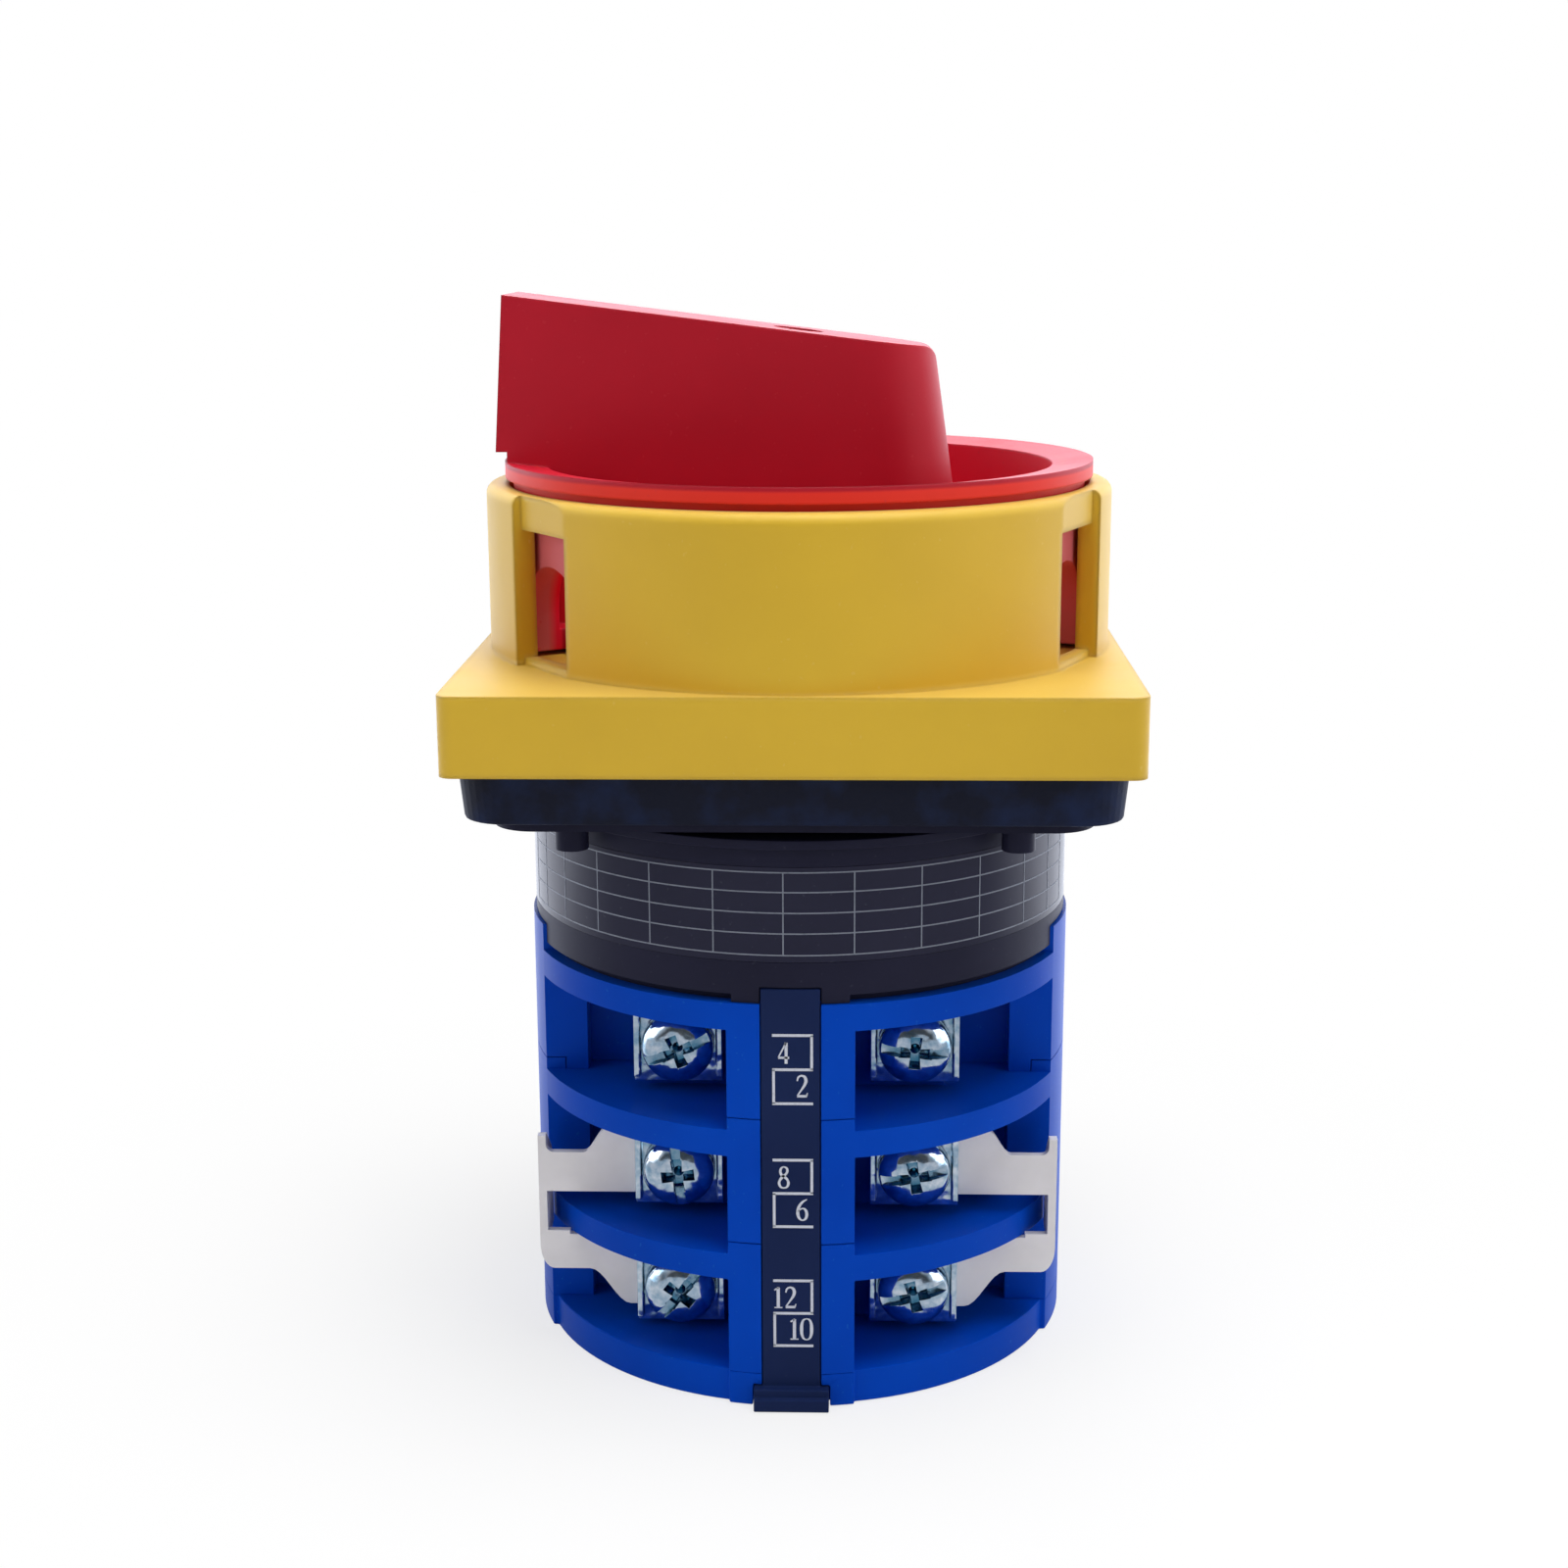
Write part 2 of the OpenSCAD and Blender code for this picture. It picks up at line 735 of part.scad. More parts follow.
module detent_cover() {
    lug_angle = 90 + turn_angle / 2;
    off_stop = lug_angle + lug_half + stop_half + stop_gap;
    on_stop = lug_angle - turn_angle - lug_half - stop_half - stop_gap;
    color("dimgray")
        difference() {
            union() {
                rod(cover_r, cover_z, cover_z + cover_t);
                rod(head_room_r - slide_gap, cover_z - cover_step, cover_z + eps);
                stop_rib(off_stop);
                stop_rib(on_stop);
            }
            rod(bearing_r, wheel_z, cover_z + cover_t + 1);
            at_head_screws()
                rod(head_screw_r + run_gap, cover_z - 2, cover_z + cover_t + 1);
            // Nicks that clear the bosses of the mounting plate
            at_corners()
                rod(boss_r + slide_gap, cover_z - 1, cover_z + cover_t + 1);
        }
}

// Straight guide for one detent slide, from the wheel's room to the wall
module slide_channel(sy) {
    channel_w = slide_w + 2 * slide_gap;
    block([-channel_w / 2, sy > 0 ? 0 : -head_room_r, head_floor_top],
          [channel_w / 2, sy > 0 ? head_room_r : 0, wheel_z + wheel_t + 0.2]);
}

// The detent head, the neck of the switch
module detent_housing() {
    color("black")
        difference() {
            union() {
                rod(head_r, head_z + underside_step, cover_z);
                rod(body_r - 0.6, head_z, head_z + 1);
                // Tabs that meet the label strips
                for (sy = [1, -1])
                    intersection() {
                        block([-tab_half + post_shift, sy > 0 ? 0 : -stage_r, head_z],
                              [tab_half + post_shift, sy > 0 ? stage_r : 0, head_z + tab_h]);
                        rod(head_r, head_z, head_z + tab_h);
                    }
            }
            // Seat of the printed sleeve
            tube(head_r + 1, body_r, head_z + sleeve_z, head_z + sleeve_z + sleeve_h);
            // Relief for the ears of the top stage
            seat_ring(head_z - 1, head_z + ear_h + slide_gap, 0, slide_gap);
            // Room of the wheel, with the guides of the slides
            rod(wheel_room_r, head_floor_top, cover_z + 1);
            slide_channel(1);
            slide_channel(-1);
            difference() {
                rod(head_room_r, wheel_z + wheel_t + 0.3, cover_z + 1);
                at_head_screws()
                    rod(head_post_r, head_z, cover_z - cover_step);
            }
            at_head_screws()
                rod(head_screw_r + thread_gap, head_screw_seat - head_screw_l - 1, cover_z + 1);
            rod(bearing_r, head_z - 1, cover_z);
            for (sy = [1, -1])
                translate([0, sy * tie_y, 0])
                    rod(tie_r + thread_gap, head_z - 1, head_floor_top);
            strip_groove(strip_w, head_z, head_z + strip_top + slide_gap);
        }
}

module printed_sleeve() {
    color("darkslategray")
        tube(head_r, body_r, head_z + sleeve_z, head_z + sleeve_z + sleeve_h);
}

module detent_wheel() {
    lug_angle = 90 + turn_angle / 2;
    hub_top = cover_z + cover_t - 0.2;
    color("ivory")
        difference() {
            union() {
                rod(wheel_r, wheel_z, wheel_z + wheel_t);
                rod(wheel_hub_r, head_z + 0.2, hub_top);
                // Lug that runs between the stops
                rotate([0, 0, lug_angle])
                    intersection() {
                        tube(lug_r, wheel_hub_r - 1, wheel_z + wheel_t - eps, wheel_z + wheel_t + lug_h);
                        linear_extrude(cover_z)
                            polygon([[0, 0], 2 * wheel_r * [cos(lug_half), -sin(lug_half)],
                                     2 * wheel_r * [cos(lug_half), sin(lug_half)]]);
                    }
            }
            // Notches, one for each rest position and its opposite
            for (a = [90, 90 + turn_angle, 270, 270 + turn_angle])
                rotate([0, 0, a])
                    translate([wheel_r + roller_r - notch_depth, 0, wheel_z - 1])
                        cylinder(r = roller_r + 0.2, h = wheel_t + 2);
            square_bar(shaft_w + 2 * slide_gap, head_z - 1, cover_z + 3);
        }
}

module detent_rollers() {
    color("silver")
        for (sy = [1, -1])
            translate([0, sy * roller_y, 0])
                rod(roller_r, head_floor_top + 0.3, head_floor_top + 0.3 + roller_h);
}

module detent_slides() {
    color("ivory")
        for (a = [90, 270])
            rotate([0, 0, a])
                difference() {
                    block([roller_y - 0.4, -slide_w / 2, head_floor_top + 0.2],
                          [slide_y + slide_l, slide_w / 2, wheel_z + wheel_t]);
                    translate([roller_y, 0, 0])
                        rod(roller_r + slide_gap, head_z, cover_z);
                    translate([slide_y + slide_l - 2, 0, wheel_z + wheel_t / 2 - 0.3])
                        rotate([0, 90, 0])
                            cylinder(r = detent_spring_r + 0.2, h = 3);
                }
}

// A close coil of rings that stands for a short compression spring along X
module coil(x1, x2, r, wire, turns) {
    step = (x2 - x1 - wire) / (turns - 1);
    for (i = [0:turns - 1])
        translate([x1 + wire / 2 + i * step, 0, 0])
            rotate([0, 90, 0])
                rotate_extrude($fn = 48)
                    translate([r, 0])
                        circle(d = wire, $fn = 16);
    // The wire that joins each ring to the next, on alternate sides
    for (i = [0:turns - 2])
        translate([x1 + wire / 2 + i * step, 0, 0])
            rotate([0, 90, 0])
                rotate([0, 0, 180 * i])
                    translate([r, 0, 0])
                        cylinder(d = wire * 0.9, h = step, $fn = 16);
}

module detent_springs() {
    color("silver")
        for (a = [90, 270])
            rotate([0, 0, a])
                translate([0, 0, wheel_z + wheel_t / 2 - 0.3])
                    coil(slide_y + slide_l - 1.9, head_room_r - 0.1, detent_spring_r - 0.4, 0.7, 4);
}

// The square shaft with its lower journal
module shaft() {
    color("slategray")
        difference() {
            union() {
                square_bar(shaft_w, base_t + base_rise, shaft_top);
                rod(journal_r, 0.4, base_t + base_rise + eps);
            }
            // Groove for the clip and hole for the handle screw
            tube(journal_r + 1, clip_in_r - 0.05, clip_z - 0.05, clip_top + 0.05);
            rod(handle_screw_r + thread_gap, handle_screw_end - 1, shaft_top + 1);
        }
}

// Open ring in the journal's groove
module shaft_clip() {
    color("silver")
        difference() {
            tube(clip_r, clip_in_r, clip_z, clip_top);
            block([0, -journal_r * 0.6, 0], [clip_r + 1, journal_r * 0.6, base_t]);
        }
}

// Seats that each deck offers to the posts and pillars above it, with the gap of what fits over them
module seat_ring(z1, z2, post_half, gap) {
    intersection() {
        tube(stage_r, seat_in_r - gap, z1, z2);
        union() {
            if (post_half > 0)
                block([post_shift - post_half - gap, -stage_r - 1, z1 - 1],
                      [post_shift + post_half + gap, stage_r + 1, z2 + 1]);
            block([-stage_r - 1, -pillar_y - gap, z1 - 1], [stage_r + 1, pillar_y + gap, z2 + 1]);
        }
    }
}

// Grooves for the label strips, or for their feet
module strip_groove(w, z1, z2) {
    half = w / 2 + slide_gap;
    for (sy = [1, -1])
        block([post_shift - half, sy > 0 ? groove_y : -stage_r - 2, z1],
              [post_shift + half, sy > 0 ? stage_r + 2 : -groove_y, z2]);
}

// Holes for the tie screws
module tie_holes(z1, z2) {
    for (sy = [1, -1])
        translate([0, sy * tie_y, 0])
            rod(tie_r + run_gap, z1, z2);
}

// Plan of a stage's walls: posts, pillars and the supports of the terminal plates
module wall_plan() {
    intersection() {
        circle(r = stage_r);
        union() {
            translate([post_shift, 0])
                square([2 * post_x, 2 * stage_r + 2], center = true);
            square([2 * support_x, 2 * support_y], center = true);
            square([2 * stage_r, 2 * recess_y], center = true);
            for (sx = [1, -1])
                translate([sx * (pillar_x + stage_r) / 2, 0])
                    square([stage_r - pillar_x, 2 * pillar_y], center = true);
        }
    }
}

// Room of the cam, and on each side the guide of a plunger and the chamber of its bridge
module contact_room(z) {
    guide = plunger_w / 2 + slide_gap;
    rod(cam_room_r, z - 1, z + pitch - deck_t);
    block([-chamber_x - 1, -guide, z - 1], [chamber_x + 1, guide, z + screw_z + plunger_h / 2 + slide_gap]);
    for (sx = [1, -1])
        block([sx > 0 ? chamber_x : -chamber_end, -chamber_y, z - 1],
              [sx > 0 ? chamber_end : -chamber_x, chamber_y, z + pitch - deck_t]);
}

// Slots for the fixed contacts' legs, and pockets for the ends of the terminal screws
module leg_slots(z) {
    mirror_quarters() {
        block([leg_x - slide_gap, -recess_y - 1, z - 1],
              [leg_x + contact_t + slide_gap, -chamber_y + 1, z + screw_z + leg_h / 2 + slide_gap]);
        translate([screw_x, -support_y + screw_pocket, z + screw_z])
            rotate([90, 0, 0])
                cylinder(r = screw_r + 0.3, h = screw_pocket + 1);
    }
}

// Places its children in all four quarters
module mirror_quarters() {
    for (mx = [0, 1])
        for (my = [0, 1])
            mirror([mx, 0, 0])
                mirror([0, my, 0])
                    children();
}

// One contact stage's housing: walls, deck and the seats on the deck
module stage_housing(n) {
    z = stage_z(n);
    topmost = n == stages - 1;
    color("royalblue")
        difference() {
            union() {
                translate([0, 0, z])
                    linear_extrude(pitch)
                        wall_plan();
                rod(stage_r, z + pitch - deck_t, z + pitch);
                seat_ring(z + pitch - eps, z + pitch + (topmost ? ear_h : seat_h), topmost ? 0 : post_x, 0);
            }
            contact_room(z);
            rod(bearing_r, z, z + pitch + 1);
            leg_slots(z);
            if (n > 0)
                seat_ring(z - 1, z + seat_h + slide_gap, post_x, slide_gap);
            else
                rod(stage_r + 1, z - 1, z + base_rise);
            strip_groove(strip_w, z - 1, z + pitch + seat_h + 1);
            tie_holes(z - 1, z + pitch + 1);
        }
}

// The base cover, which the posts and pillars of the bottom stage stand on
module base_cover() {
    floor_top = base_t + base_rise;
    color("royalblue")
        difference() {
            union() {
                rod(base_edge_r, 0, floor_top);
                linear_extrude(floor_top)
                    wall_plan();
            }
            rod(journal_r + run_gap, -1, floor_top + 1);
            rod(bearing_r, base_t, floor_top + 1);
            rod(clip_r + 2 * slide_gap, -1, clip_top + slide_gap);
            tie_holes(-1, floor_top + 1);
            for (sy = [1, -1])
                translate([0, sy * tie_y, 0])
                    rod(tie_head_r + 2 * slide_gap, -1, tie_head_h + slide_gap);
            strip_groove(strip_w, -1, floor_top + 1);
            strip_groove(foot_w, -1, foot_h + slide_gap);
        }
}

module tie_screws() {
    color("silver")
        for (sy = [1, -1])
            translate([0, sy * tie_y, 0])
                difference() {
                    union() {
                        rod(tie_head_r, 0.1, tie_head_h);
                        rod(tie_r, tie_head_h - eps, head_floor_top - 0.2);
                    }
                    mirror([0, 0, 1])
                        translate([0, 0, -0.1])
                            cross_recess(tie_head_r * 0.6, 1);
                }
}

// A label strip in its groove, with the foot that hooks under the base
module label_strip(sy) {
    back = -groove_y - 0.05;
    step_z = foot_h - 0.8;
    step_out = foot_out - 0.5;
    color("black")
        translate([post_shift, 0, 0])
            rotate([0, 0, sy > 0 ? 180 : 0])
                union() {
                    block([-strip_w / 2, -strip_face_y, 0.1], [strip_w / 2, back, head_z + strip_top]);
                    block([-foot_w / 2, -stage_r - foot_out, 0], [foot_w / 2, back, step_z]);
                    block([-foot_w / 2, -stage_r - step_out, step_z - eps], [foot_w / 2, back, foot_h]);
                }
}

module label_strip_front() {
    label_strip(-1);
}

module label_strip_rear() {
    label_strip(1);
}

// One cam: a hub and a face whose radius falls evenly over the handle's turn and rises again
function cam_radius(a) = cam_r - plunger_travel * (1 - abs(1 - (a % 180) / turn_angle));

module cam(n) {
    z = stage_z(n);
    mid = z + screw_z;
    color("ivory")
        difference() {
            union() {
                translate([0, 0, mid - cam_t / 2])
                    linear_extrude(cam_t)
                        polygon([for (a = [0:3:357]) cam_radius(a) * [cos(a), sin(a)]]);
                rod(cam_hub_r, z + 0.2, z + pitch - 0.1);
            }
            square_bar(shaft_w + 2 * slide_gap, z - 1, z + pitch + 1);
        }
}

// Plunger of one side: a nosed bar with a peg that carries the bridge
module plunger(n, side) {
    mid = stage_z(n) + screw_z;
    color("ivory")
        mirror([side < 0 ? 1 : 0, 0, 0])
            union() {
                translate([nose_x + nose_r, 0, mid - plunger_h / 2])
                    linear_extrude(plunger_h)
                        union() {
                            circle(r = nose_r);
                            translate([0, -nose_r])
                                square([2, 2 * nose_r]);
                        }
                block([nose_x + nose_r + 1, -plunger_w / 2, mid - plunger_h / 2],
                      [bridge_x, plunger_w / 2, mid + plunger_h / 2]);
                translate([bridge_x - 1, 0, mid])
                    rotate([0, 90, 0])
                        cylinder(r = peg_r, h = bridge_t + 1.8);
            }
}

module bridge(n, side) {
    mid = stage_z(n) + screw_z;
    color("peru")
        mirror([side < 0 ? 1 : 0, 0, 0])
            difference() {
                union() {
                    block([bridge_x, -bridge_half, mid - bridge_h / 2],
                          [bridge_x + bridge_t, bridge_half, mid + bridge_h / 2]);
                    for (sy = [1, -1])
                        translate([bridge_x - pad_h, sy * pad_y, mid])
                            rotate([0, 90, 0])
                                cylinder(r = pad_r, h = pad_h + eps);
                }
                translate([bridge_x - 1, 0, mid])
                    rotate([0, 90, 0])
                        cylinder(r = peg_r + 0.05, h = bridge_t + 2);
            }
}

module contact_springs(n) {
    mid = stage_z(n) + screw_z;
    color("silver")
        for (mx = [0, 1])
            mirror([mx, 0, 0])
                translate([0, 0, mid])
                    coil(bridge_x + bridge_t + 0.05, chamber_end - 0.02, contact_spring_r, contact_wire, 5);
}

// Fixed contacts: a terminal plate, a leg turned inwards and a rivet on the leg
module fixed_contacts(n) {
    mid = stage_z(n) + screw_z;
    color("peru")
        mirror_quarters()
            union() {
                difference() {
                    block([screw_x - plate_half, -terminal_y, mid - terminal_h / 2],
                          [leg_x + contact_t, -support_y, mid + terminal_h / 2]);
                    translate([screw_x, -support_y + 1, mid])
                        rotate([90, 0, 0])
                            cylinder(r = screw_r + thread_gap, h = contact_t + 2);
                }
                block([leg_x, -terminal_y + eps, mid - leg_h / 2],
                      [leg_x + contact_t, -leg_end_y, mid + leg_h / 2]);
                translate([leg_x + contact_t - eps, -pad_y, mid])
                    rotate([0, 90, 0])
                        cylinder(r = pad_r, h = pad_h);
            }
}

// Whether a stage's front terminals hold a jumper link: the two lower stages do
function linked(n, front) = front && n < stages - 1;

// Places its children with the terminal plate's face at y = 0, facing -Y, the screw on the axis
module terminal_offsets(n) {
    for (mx = [0, 1])
        for (front = [true, false])
            mirror([mx, 0, 0])
                mirror([0, front ? 0 : 1, 0])
                    translate([screw_x, -terminal_y - (linked(n, front) ? link_t : 0), stage_z(n) + screw_z])
                        children();
}

// Clamp washers under the terminal screws
module clamp_washers(n) {
    half_w = washer_w / 2;
    half_h = washer_h / 2;
    color("lightsteelblue")
        terminal_offsets(n)
            difference() {
                union() {
                    block([-half_w, -washer_t, -half_h], [half_w, 0, half_h]);
                    // Turned ends that keep a wire under the washer
                    for (sx = [0, 1])
                        mirror([sx, 0, 0])
                            block([screw_head_r + 2 * slide_gap, -washer_t - 0.7, -half_h + 0.6],
                                  [half_w, -washer_t + eps, half_h - 0.6]);
                }
                translate([0, 1, 0])
                    rotate([90, 0, 0])
                        cylinder(r = screw_r + 0.25, h = washer_t + 2);
            }
}

// Terminal screws, which reach through washer, link and plate
module terminal_screws(n) {
    screw_l = washer_t + link_t + contact_t + 1.2;
    color("silver")
        terminal_offsets(n)
            translate([0, -washer_t, 0])
                rotate([90, 0, 0])
                    difference() {
                        union() {
                            pan_head(screw_head_r, screw_head_h);
                            translate([0, 0, -screw_l])
                                cylinder(r = screw_r, h = screw_l + eps);
                        }
                        translate([0, 0, screw_head_h])
                            cross_recess(screw_head_r * 0.62, 1.4);
                    }
}

// A link's face, seen from the front, for the right side
module jumper_outline() {
    deck_x = sqrt(stage_r * stage_r - terminal_y * terminal_y) + slide_gap;
    arm_top = link_deck_z + 0.4;
    horn_r = 0.8;
    corner_r = 1.4;
    tongue_top = link_upper + link_tongue_h / 2 + 0.5;
    tongue_foot = link_lower - 2.6;
    polygon(concat(
        [[link_tongue_x, tongue_top]],
        eased_points([link_inner_x - 6.2, tongue_top], [link_inner_x - 3.8, link_notch_z]),
        arc_points([link_inner_x - horn_r, link_notch_z + horn_r], horn_r, horn_r, -90, 0),
        [[link_inner_x, link_horn_z], [link_x, link_horn_z]],
        arc_points([link_x - corner_r, link_tail_z], corner_r, link_tail_z - link_foot_z, 0, -90),
        eased_points([link_inner_x - 4.2, link_foot_z], [link_inner_x - 8.3, tongue_foot]),
        [[link_tongue_x, tongue_foot], [link_tongue_x, link_deck_z], [deck_x, link_deck_z],
         [deck_x, arm_top], [link_inner_x, arm_top], [link_inner_x, link_gap_z], [link_tongue_x, link_gap_z]]
    ));
}

// A link's flange, seen from the right side: it slopes down towards the rear
module jumper_flange() {
    polygon([
        [-link_face_y, link_tail_z], [-link_face_y, link_horn_z], [-link_face_y + 1, link_horn_z],
        [-link_back_y, link_horn_z - 3], [-link_back_y, link_tail_z + 0.6]
    ]);
}

// One link: the face on the terminals and the flange outside the stages
module jumper(side) {
    color("silver")
        mirror([side < 0 ? 1 : 0, 0, 0])
            difference() {
                union() {
                    translate([0, -terminal_y, 0])
                        rotate([90, 0, 0])
                            linear_extrude(link_t)
                                jumper_outline();
                    translate([link_inner_x, 0, 0])
                        rotate([90, 0, 90])
                            linear_extrude(link_t)
                                jumper_flange();
                }
                for (z = [link_upper, link_lower])
                    translate([screw_x, -terminal_y + 1, z])
                        rotate([90, 0, 0])
                            cylinder(r = screw_r + 0.2, h = link_t + 2);
            }
}

module jumper_left() {
    jumper(-1);
}

module jumper_right() {
    jumper(1);
}

front_plate();
handle();
handle_screw();
panel_seal();
mounting_plate();
head_screws();
detent_cover();
detent_housing();
printed_sleeve();
detent_wheel();
detent_rollers();
detent_slides();
detent_springs();
shaft();
shaft_clip();
base_cover();
tie_screws();
label_strip_front();
label_strip_rear();
jumper_left();
jumper_right();
stage_housing(2);  // stage_housing_1
stage_housing(1);  // stage_housing_2
stage_housing(0);  // stage_housing_3
cam(2);  // cam_1
cam(1);  // cam_2
cam(0);  // cam_3
plunger(2, -1);  // plunger_left_1
plunger(1, -1);  // plunger_left_2
plunger(0, -1);  // plunger_left_3
plunger(2, 1);  // plunger_right_1
plunger(1, 1);  // plunger_right_2
plunger(0, 1);  // plunger_right_3
bridge(2, -1);  // bridge_left_1
bridge(1, -1);  // bridge_left_2
bridge(0, -1);  // bridge_left_3
bridge(2, 1);  // bridge_right_1
bridge(1, 1);  // bridge_right_2
bridge(0, 1);  // bridge_right_3
contact_springs(2);  // contact_springs_1
contact_springs(1);  // contact_springs_2
contact_springs(0);  // contact_springs_3
fixed_contacts(2);  // fixed_contacts_1
fixed_contacts(1);  // fixed_contacts_2
fixed_contacts(0);  // fixed_contacts_3
clamp_washers(2);  // clamp_washers_1
clamp_washers(1);  // clamp_washers_2
clamp_washers(0);  // clamp_washers_3
terminal_screws(2);  // terminal_screws_1
terminal_screws(1);  // terminal_screws_2
terminal_screws(0);  // terminal_screws_3
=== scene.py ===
"""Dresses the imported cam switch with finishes, detailed fasteners, springs and printing."""

import logging
import math
from dataclasses import dataclass, field
from enum import Enum
from typing import Any, Iterable, Mapping, Sequence

import bpy
from mathutils import Matrix, Vector


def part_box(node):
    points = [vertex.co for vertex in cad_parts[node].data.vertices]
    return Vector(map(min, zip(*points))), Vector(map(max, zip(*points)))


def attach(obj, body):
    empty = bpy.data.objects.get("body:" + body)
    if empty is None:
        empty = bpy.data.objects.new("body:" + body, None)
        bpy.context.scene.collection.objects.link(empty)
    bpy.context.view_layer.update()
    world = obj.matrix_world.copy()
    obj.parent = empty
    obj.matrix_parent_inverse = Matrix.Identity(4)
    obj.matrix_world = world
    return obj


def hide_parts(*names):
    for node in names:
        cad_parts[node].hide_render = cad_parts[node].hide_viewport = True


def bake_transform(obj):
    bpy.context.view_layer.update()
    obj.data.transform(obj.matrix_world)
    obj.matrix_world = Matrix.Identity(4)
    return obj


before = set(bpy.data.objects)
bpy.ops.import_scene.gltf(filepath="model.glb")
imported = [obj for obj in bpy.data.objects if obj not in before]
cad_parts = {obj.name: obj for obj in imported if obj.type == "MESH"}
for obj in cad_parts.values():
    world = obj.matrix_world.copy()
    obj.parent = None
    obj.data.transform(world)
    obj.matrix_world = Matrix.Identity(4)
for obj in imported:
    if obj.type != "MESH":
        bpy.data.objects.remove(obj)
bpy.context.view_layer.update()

log = logging.getLogger("cam_switch")

# Sizes are in millimetres and angles in degrees, unless a name or a docstring says otherwise.
MM = 0.001
STAGES = (1, 2, 3)
SIDES = {"left": -1, "right": 1}
FIXED = "switch_body"
ROTOR = "rotor"
STILL = Matrix.Identity(4)
MERGE_MM = 0.002
FLAT_DEGREES = 0.5
SHARP_DEGREES = 32
ROUNDING_STEPS = 2
RAYS = 4

Point = tuple[float, float, float]
Pair = tuple[float, float]
Colour = tuple[int, int, int]

WHITE: Colour = (255, 255, 255)


def paint(colour: Colour) -> tuple[float, float, float, float]:
    """Turns a screen colour into the linear colour that a shader socket takes, by the sRGB curve.

    Args:
        colour: red, green and blue from 0 to 255.

    Returns:
        Linear red, green and blue with a full alpha.
    """
    parts = [c / 255 for c in colour]
    linear = [c / 12.92 if c <= 0.04045 else ((c + 0.055) / 1.055) ** 2.4 for c in parts]
    return (linear[0], linear[1], linear[2], 1.0)


class Signal:
    """A shader socket that takes part in written expressions."""

    def __init__(self, nodes: "NodeMaker", socket: bpy.types.NodeSocket) -> None:
        """Keeps the socket and the maker of its node."""
        self.nodes = nodes
        self.socket = socket

    def maths(self, operation: str, first: "Value", second: "Value") -> "Signal":
        """Adds the Math node that works out one operation."""
        return self.nodes.add("ShaderNodeMath", {"operation": operation}, {0: first, 1: second})

    def __add__(self, other: "Value") -> "Signal":
        """The sum."""
        return self.maths("ADD", self, other)

    def __radd__(self, other: "Value") -> "Signal":
        """The sum, with the number first."""
        return self.maths("ADD", other, self)

    def __sub__(self, other: "Value") -> "Signal":
        """The difference."""
        return self.maths("SUBTRACT", self, other)

    def __rsub__(self, other: "Value") -> "Signal":
        """The difference, with the number first."""
        return self.maths("SUBTRACT", other, self)

    def __mul__(self, other: "Value") -> "Signal":
        """The product."""
        return self.maths("MULTIPLY", self, other)

    def __rmul__(self, other: "Value") -> "Signal":
        """The product, with the number first."""
        return self.maths("MULTIPLY", other, self)

    def between(self, low: float, high: float) -> "Signal":
        """Spreads the part of the signal from low to high over 0 to 1, and cuts off the rest."""
        spread = (self - low) * (1 / (high - low))
        return spread.maths("MAXIMUM", spread.maths("MINIMUM", spread, 1.0), 0.0)


Value = Signal | float | Sequence[float]
Sockets = Mapping[str | int, Value]


class NodeMaker:
    """Makes the nodes of one tree."""

    def __init__(self, tree: bpy.types.NodeTree, coordinates: str) -> None:
        """Empties the tree and starts with the coordinates that all its patterns share.

        Args:
            tree: the node tree.
            coordinates: the output of the Texture Coordinate node that gives them.
        """
        tree.nodes.clear()
        self.tree = tree
        self.place = self.add("ShaderNodeTexCoord", output=coordinates)

    def node(self, kind: str, settings: Mapping[str, Any], sockets: Sockets) -> bpy.types.Node:
        """Makes one node of any kind.

        Args:
            kind: the node's type.
            settings: the node's own settings, which are set before its sockets.
            sockets: values or signals for its inputs, by name or place.

        Returns:
            The node.
        """
        node = self.tree.nodes.new(kind)
        for key, value in settings.items():
            setattr(node, key, value)
        for key, value in sockets.items():
            if isinstance(value, Signal):
                self.tree.links.new(value.socket, node.inputs[key])
            else:
                node.inputs[key].default_value = value
        return node

    def add(
        self,
        kind: str,
        settings: Mapping[str, Any] | None = None,
        sockets: Sockets | None = None,
        output: str | int = 0,
    ) -> Signal:
        """Adds a node to an expression: the signal of one of its outputs, by name or place."""
        return Signal(self, self.node(kind, settings or {}, sockets or {}).outputs[output])

    def axis(self, name: str) -> Signal:
        """One of the coordinates, X, Y or Z."""
        return self.add("ShaderNodeSeparateXYZ", sockets={0: self.place}, output=name)

    def ray(self, kind: str) -> Signal:
        """A signal that is 1 for rays of one kind."""
        return self.add("ShaderNodeLightPath", output=f"Is {kind} Ray")

    def seen(self) -> Signal:
        """A signal that is 1 where the eye, a gloss or a clear material looks."""
        eye, gloss, clear = (self.ray(kind) for kind in ("Camera", "Glossy", "Transmission"))
        return (eye + gloss + clear).between(0.0, 1.0)

    def tint(self, factor: Value, first: Signal | Colour, second: Signal | Colour) -> Signal:
        """Mixes two colours by a signal.

        Args:
            factor: 0 for the first colour, 1 for the second.
            first: the first colour.
            second: the second colour.

        Returns:
            The mixed colour.
        """
        # A Mix node has its colours in its inputs 6 and 7 and gives the mixed one in its output 2.
        mixed = [c if isinstance(c, Signal) else paint(c) for c in (first, second)]
        return self.add("ShaderNodeMix", {"data_type": "RGBA"}, {0: factor, 6: mixed[0], 7: mixed[1]}, 2)

    def close(self, kind: str, shader: Signal) -> None:
        """Sends a shader to the tree's output node, which is of the given kind."""
        self.node(kind, {}, {"Surface": shader})


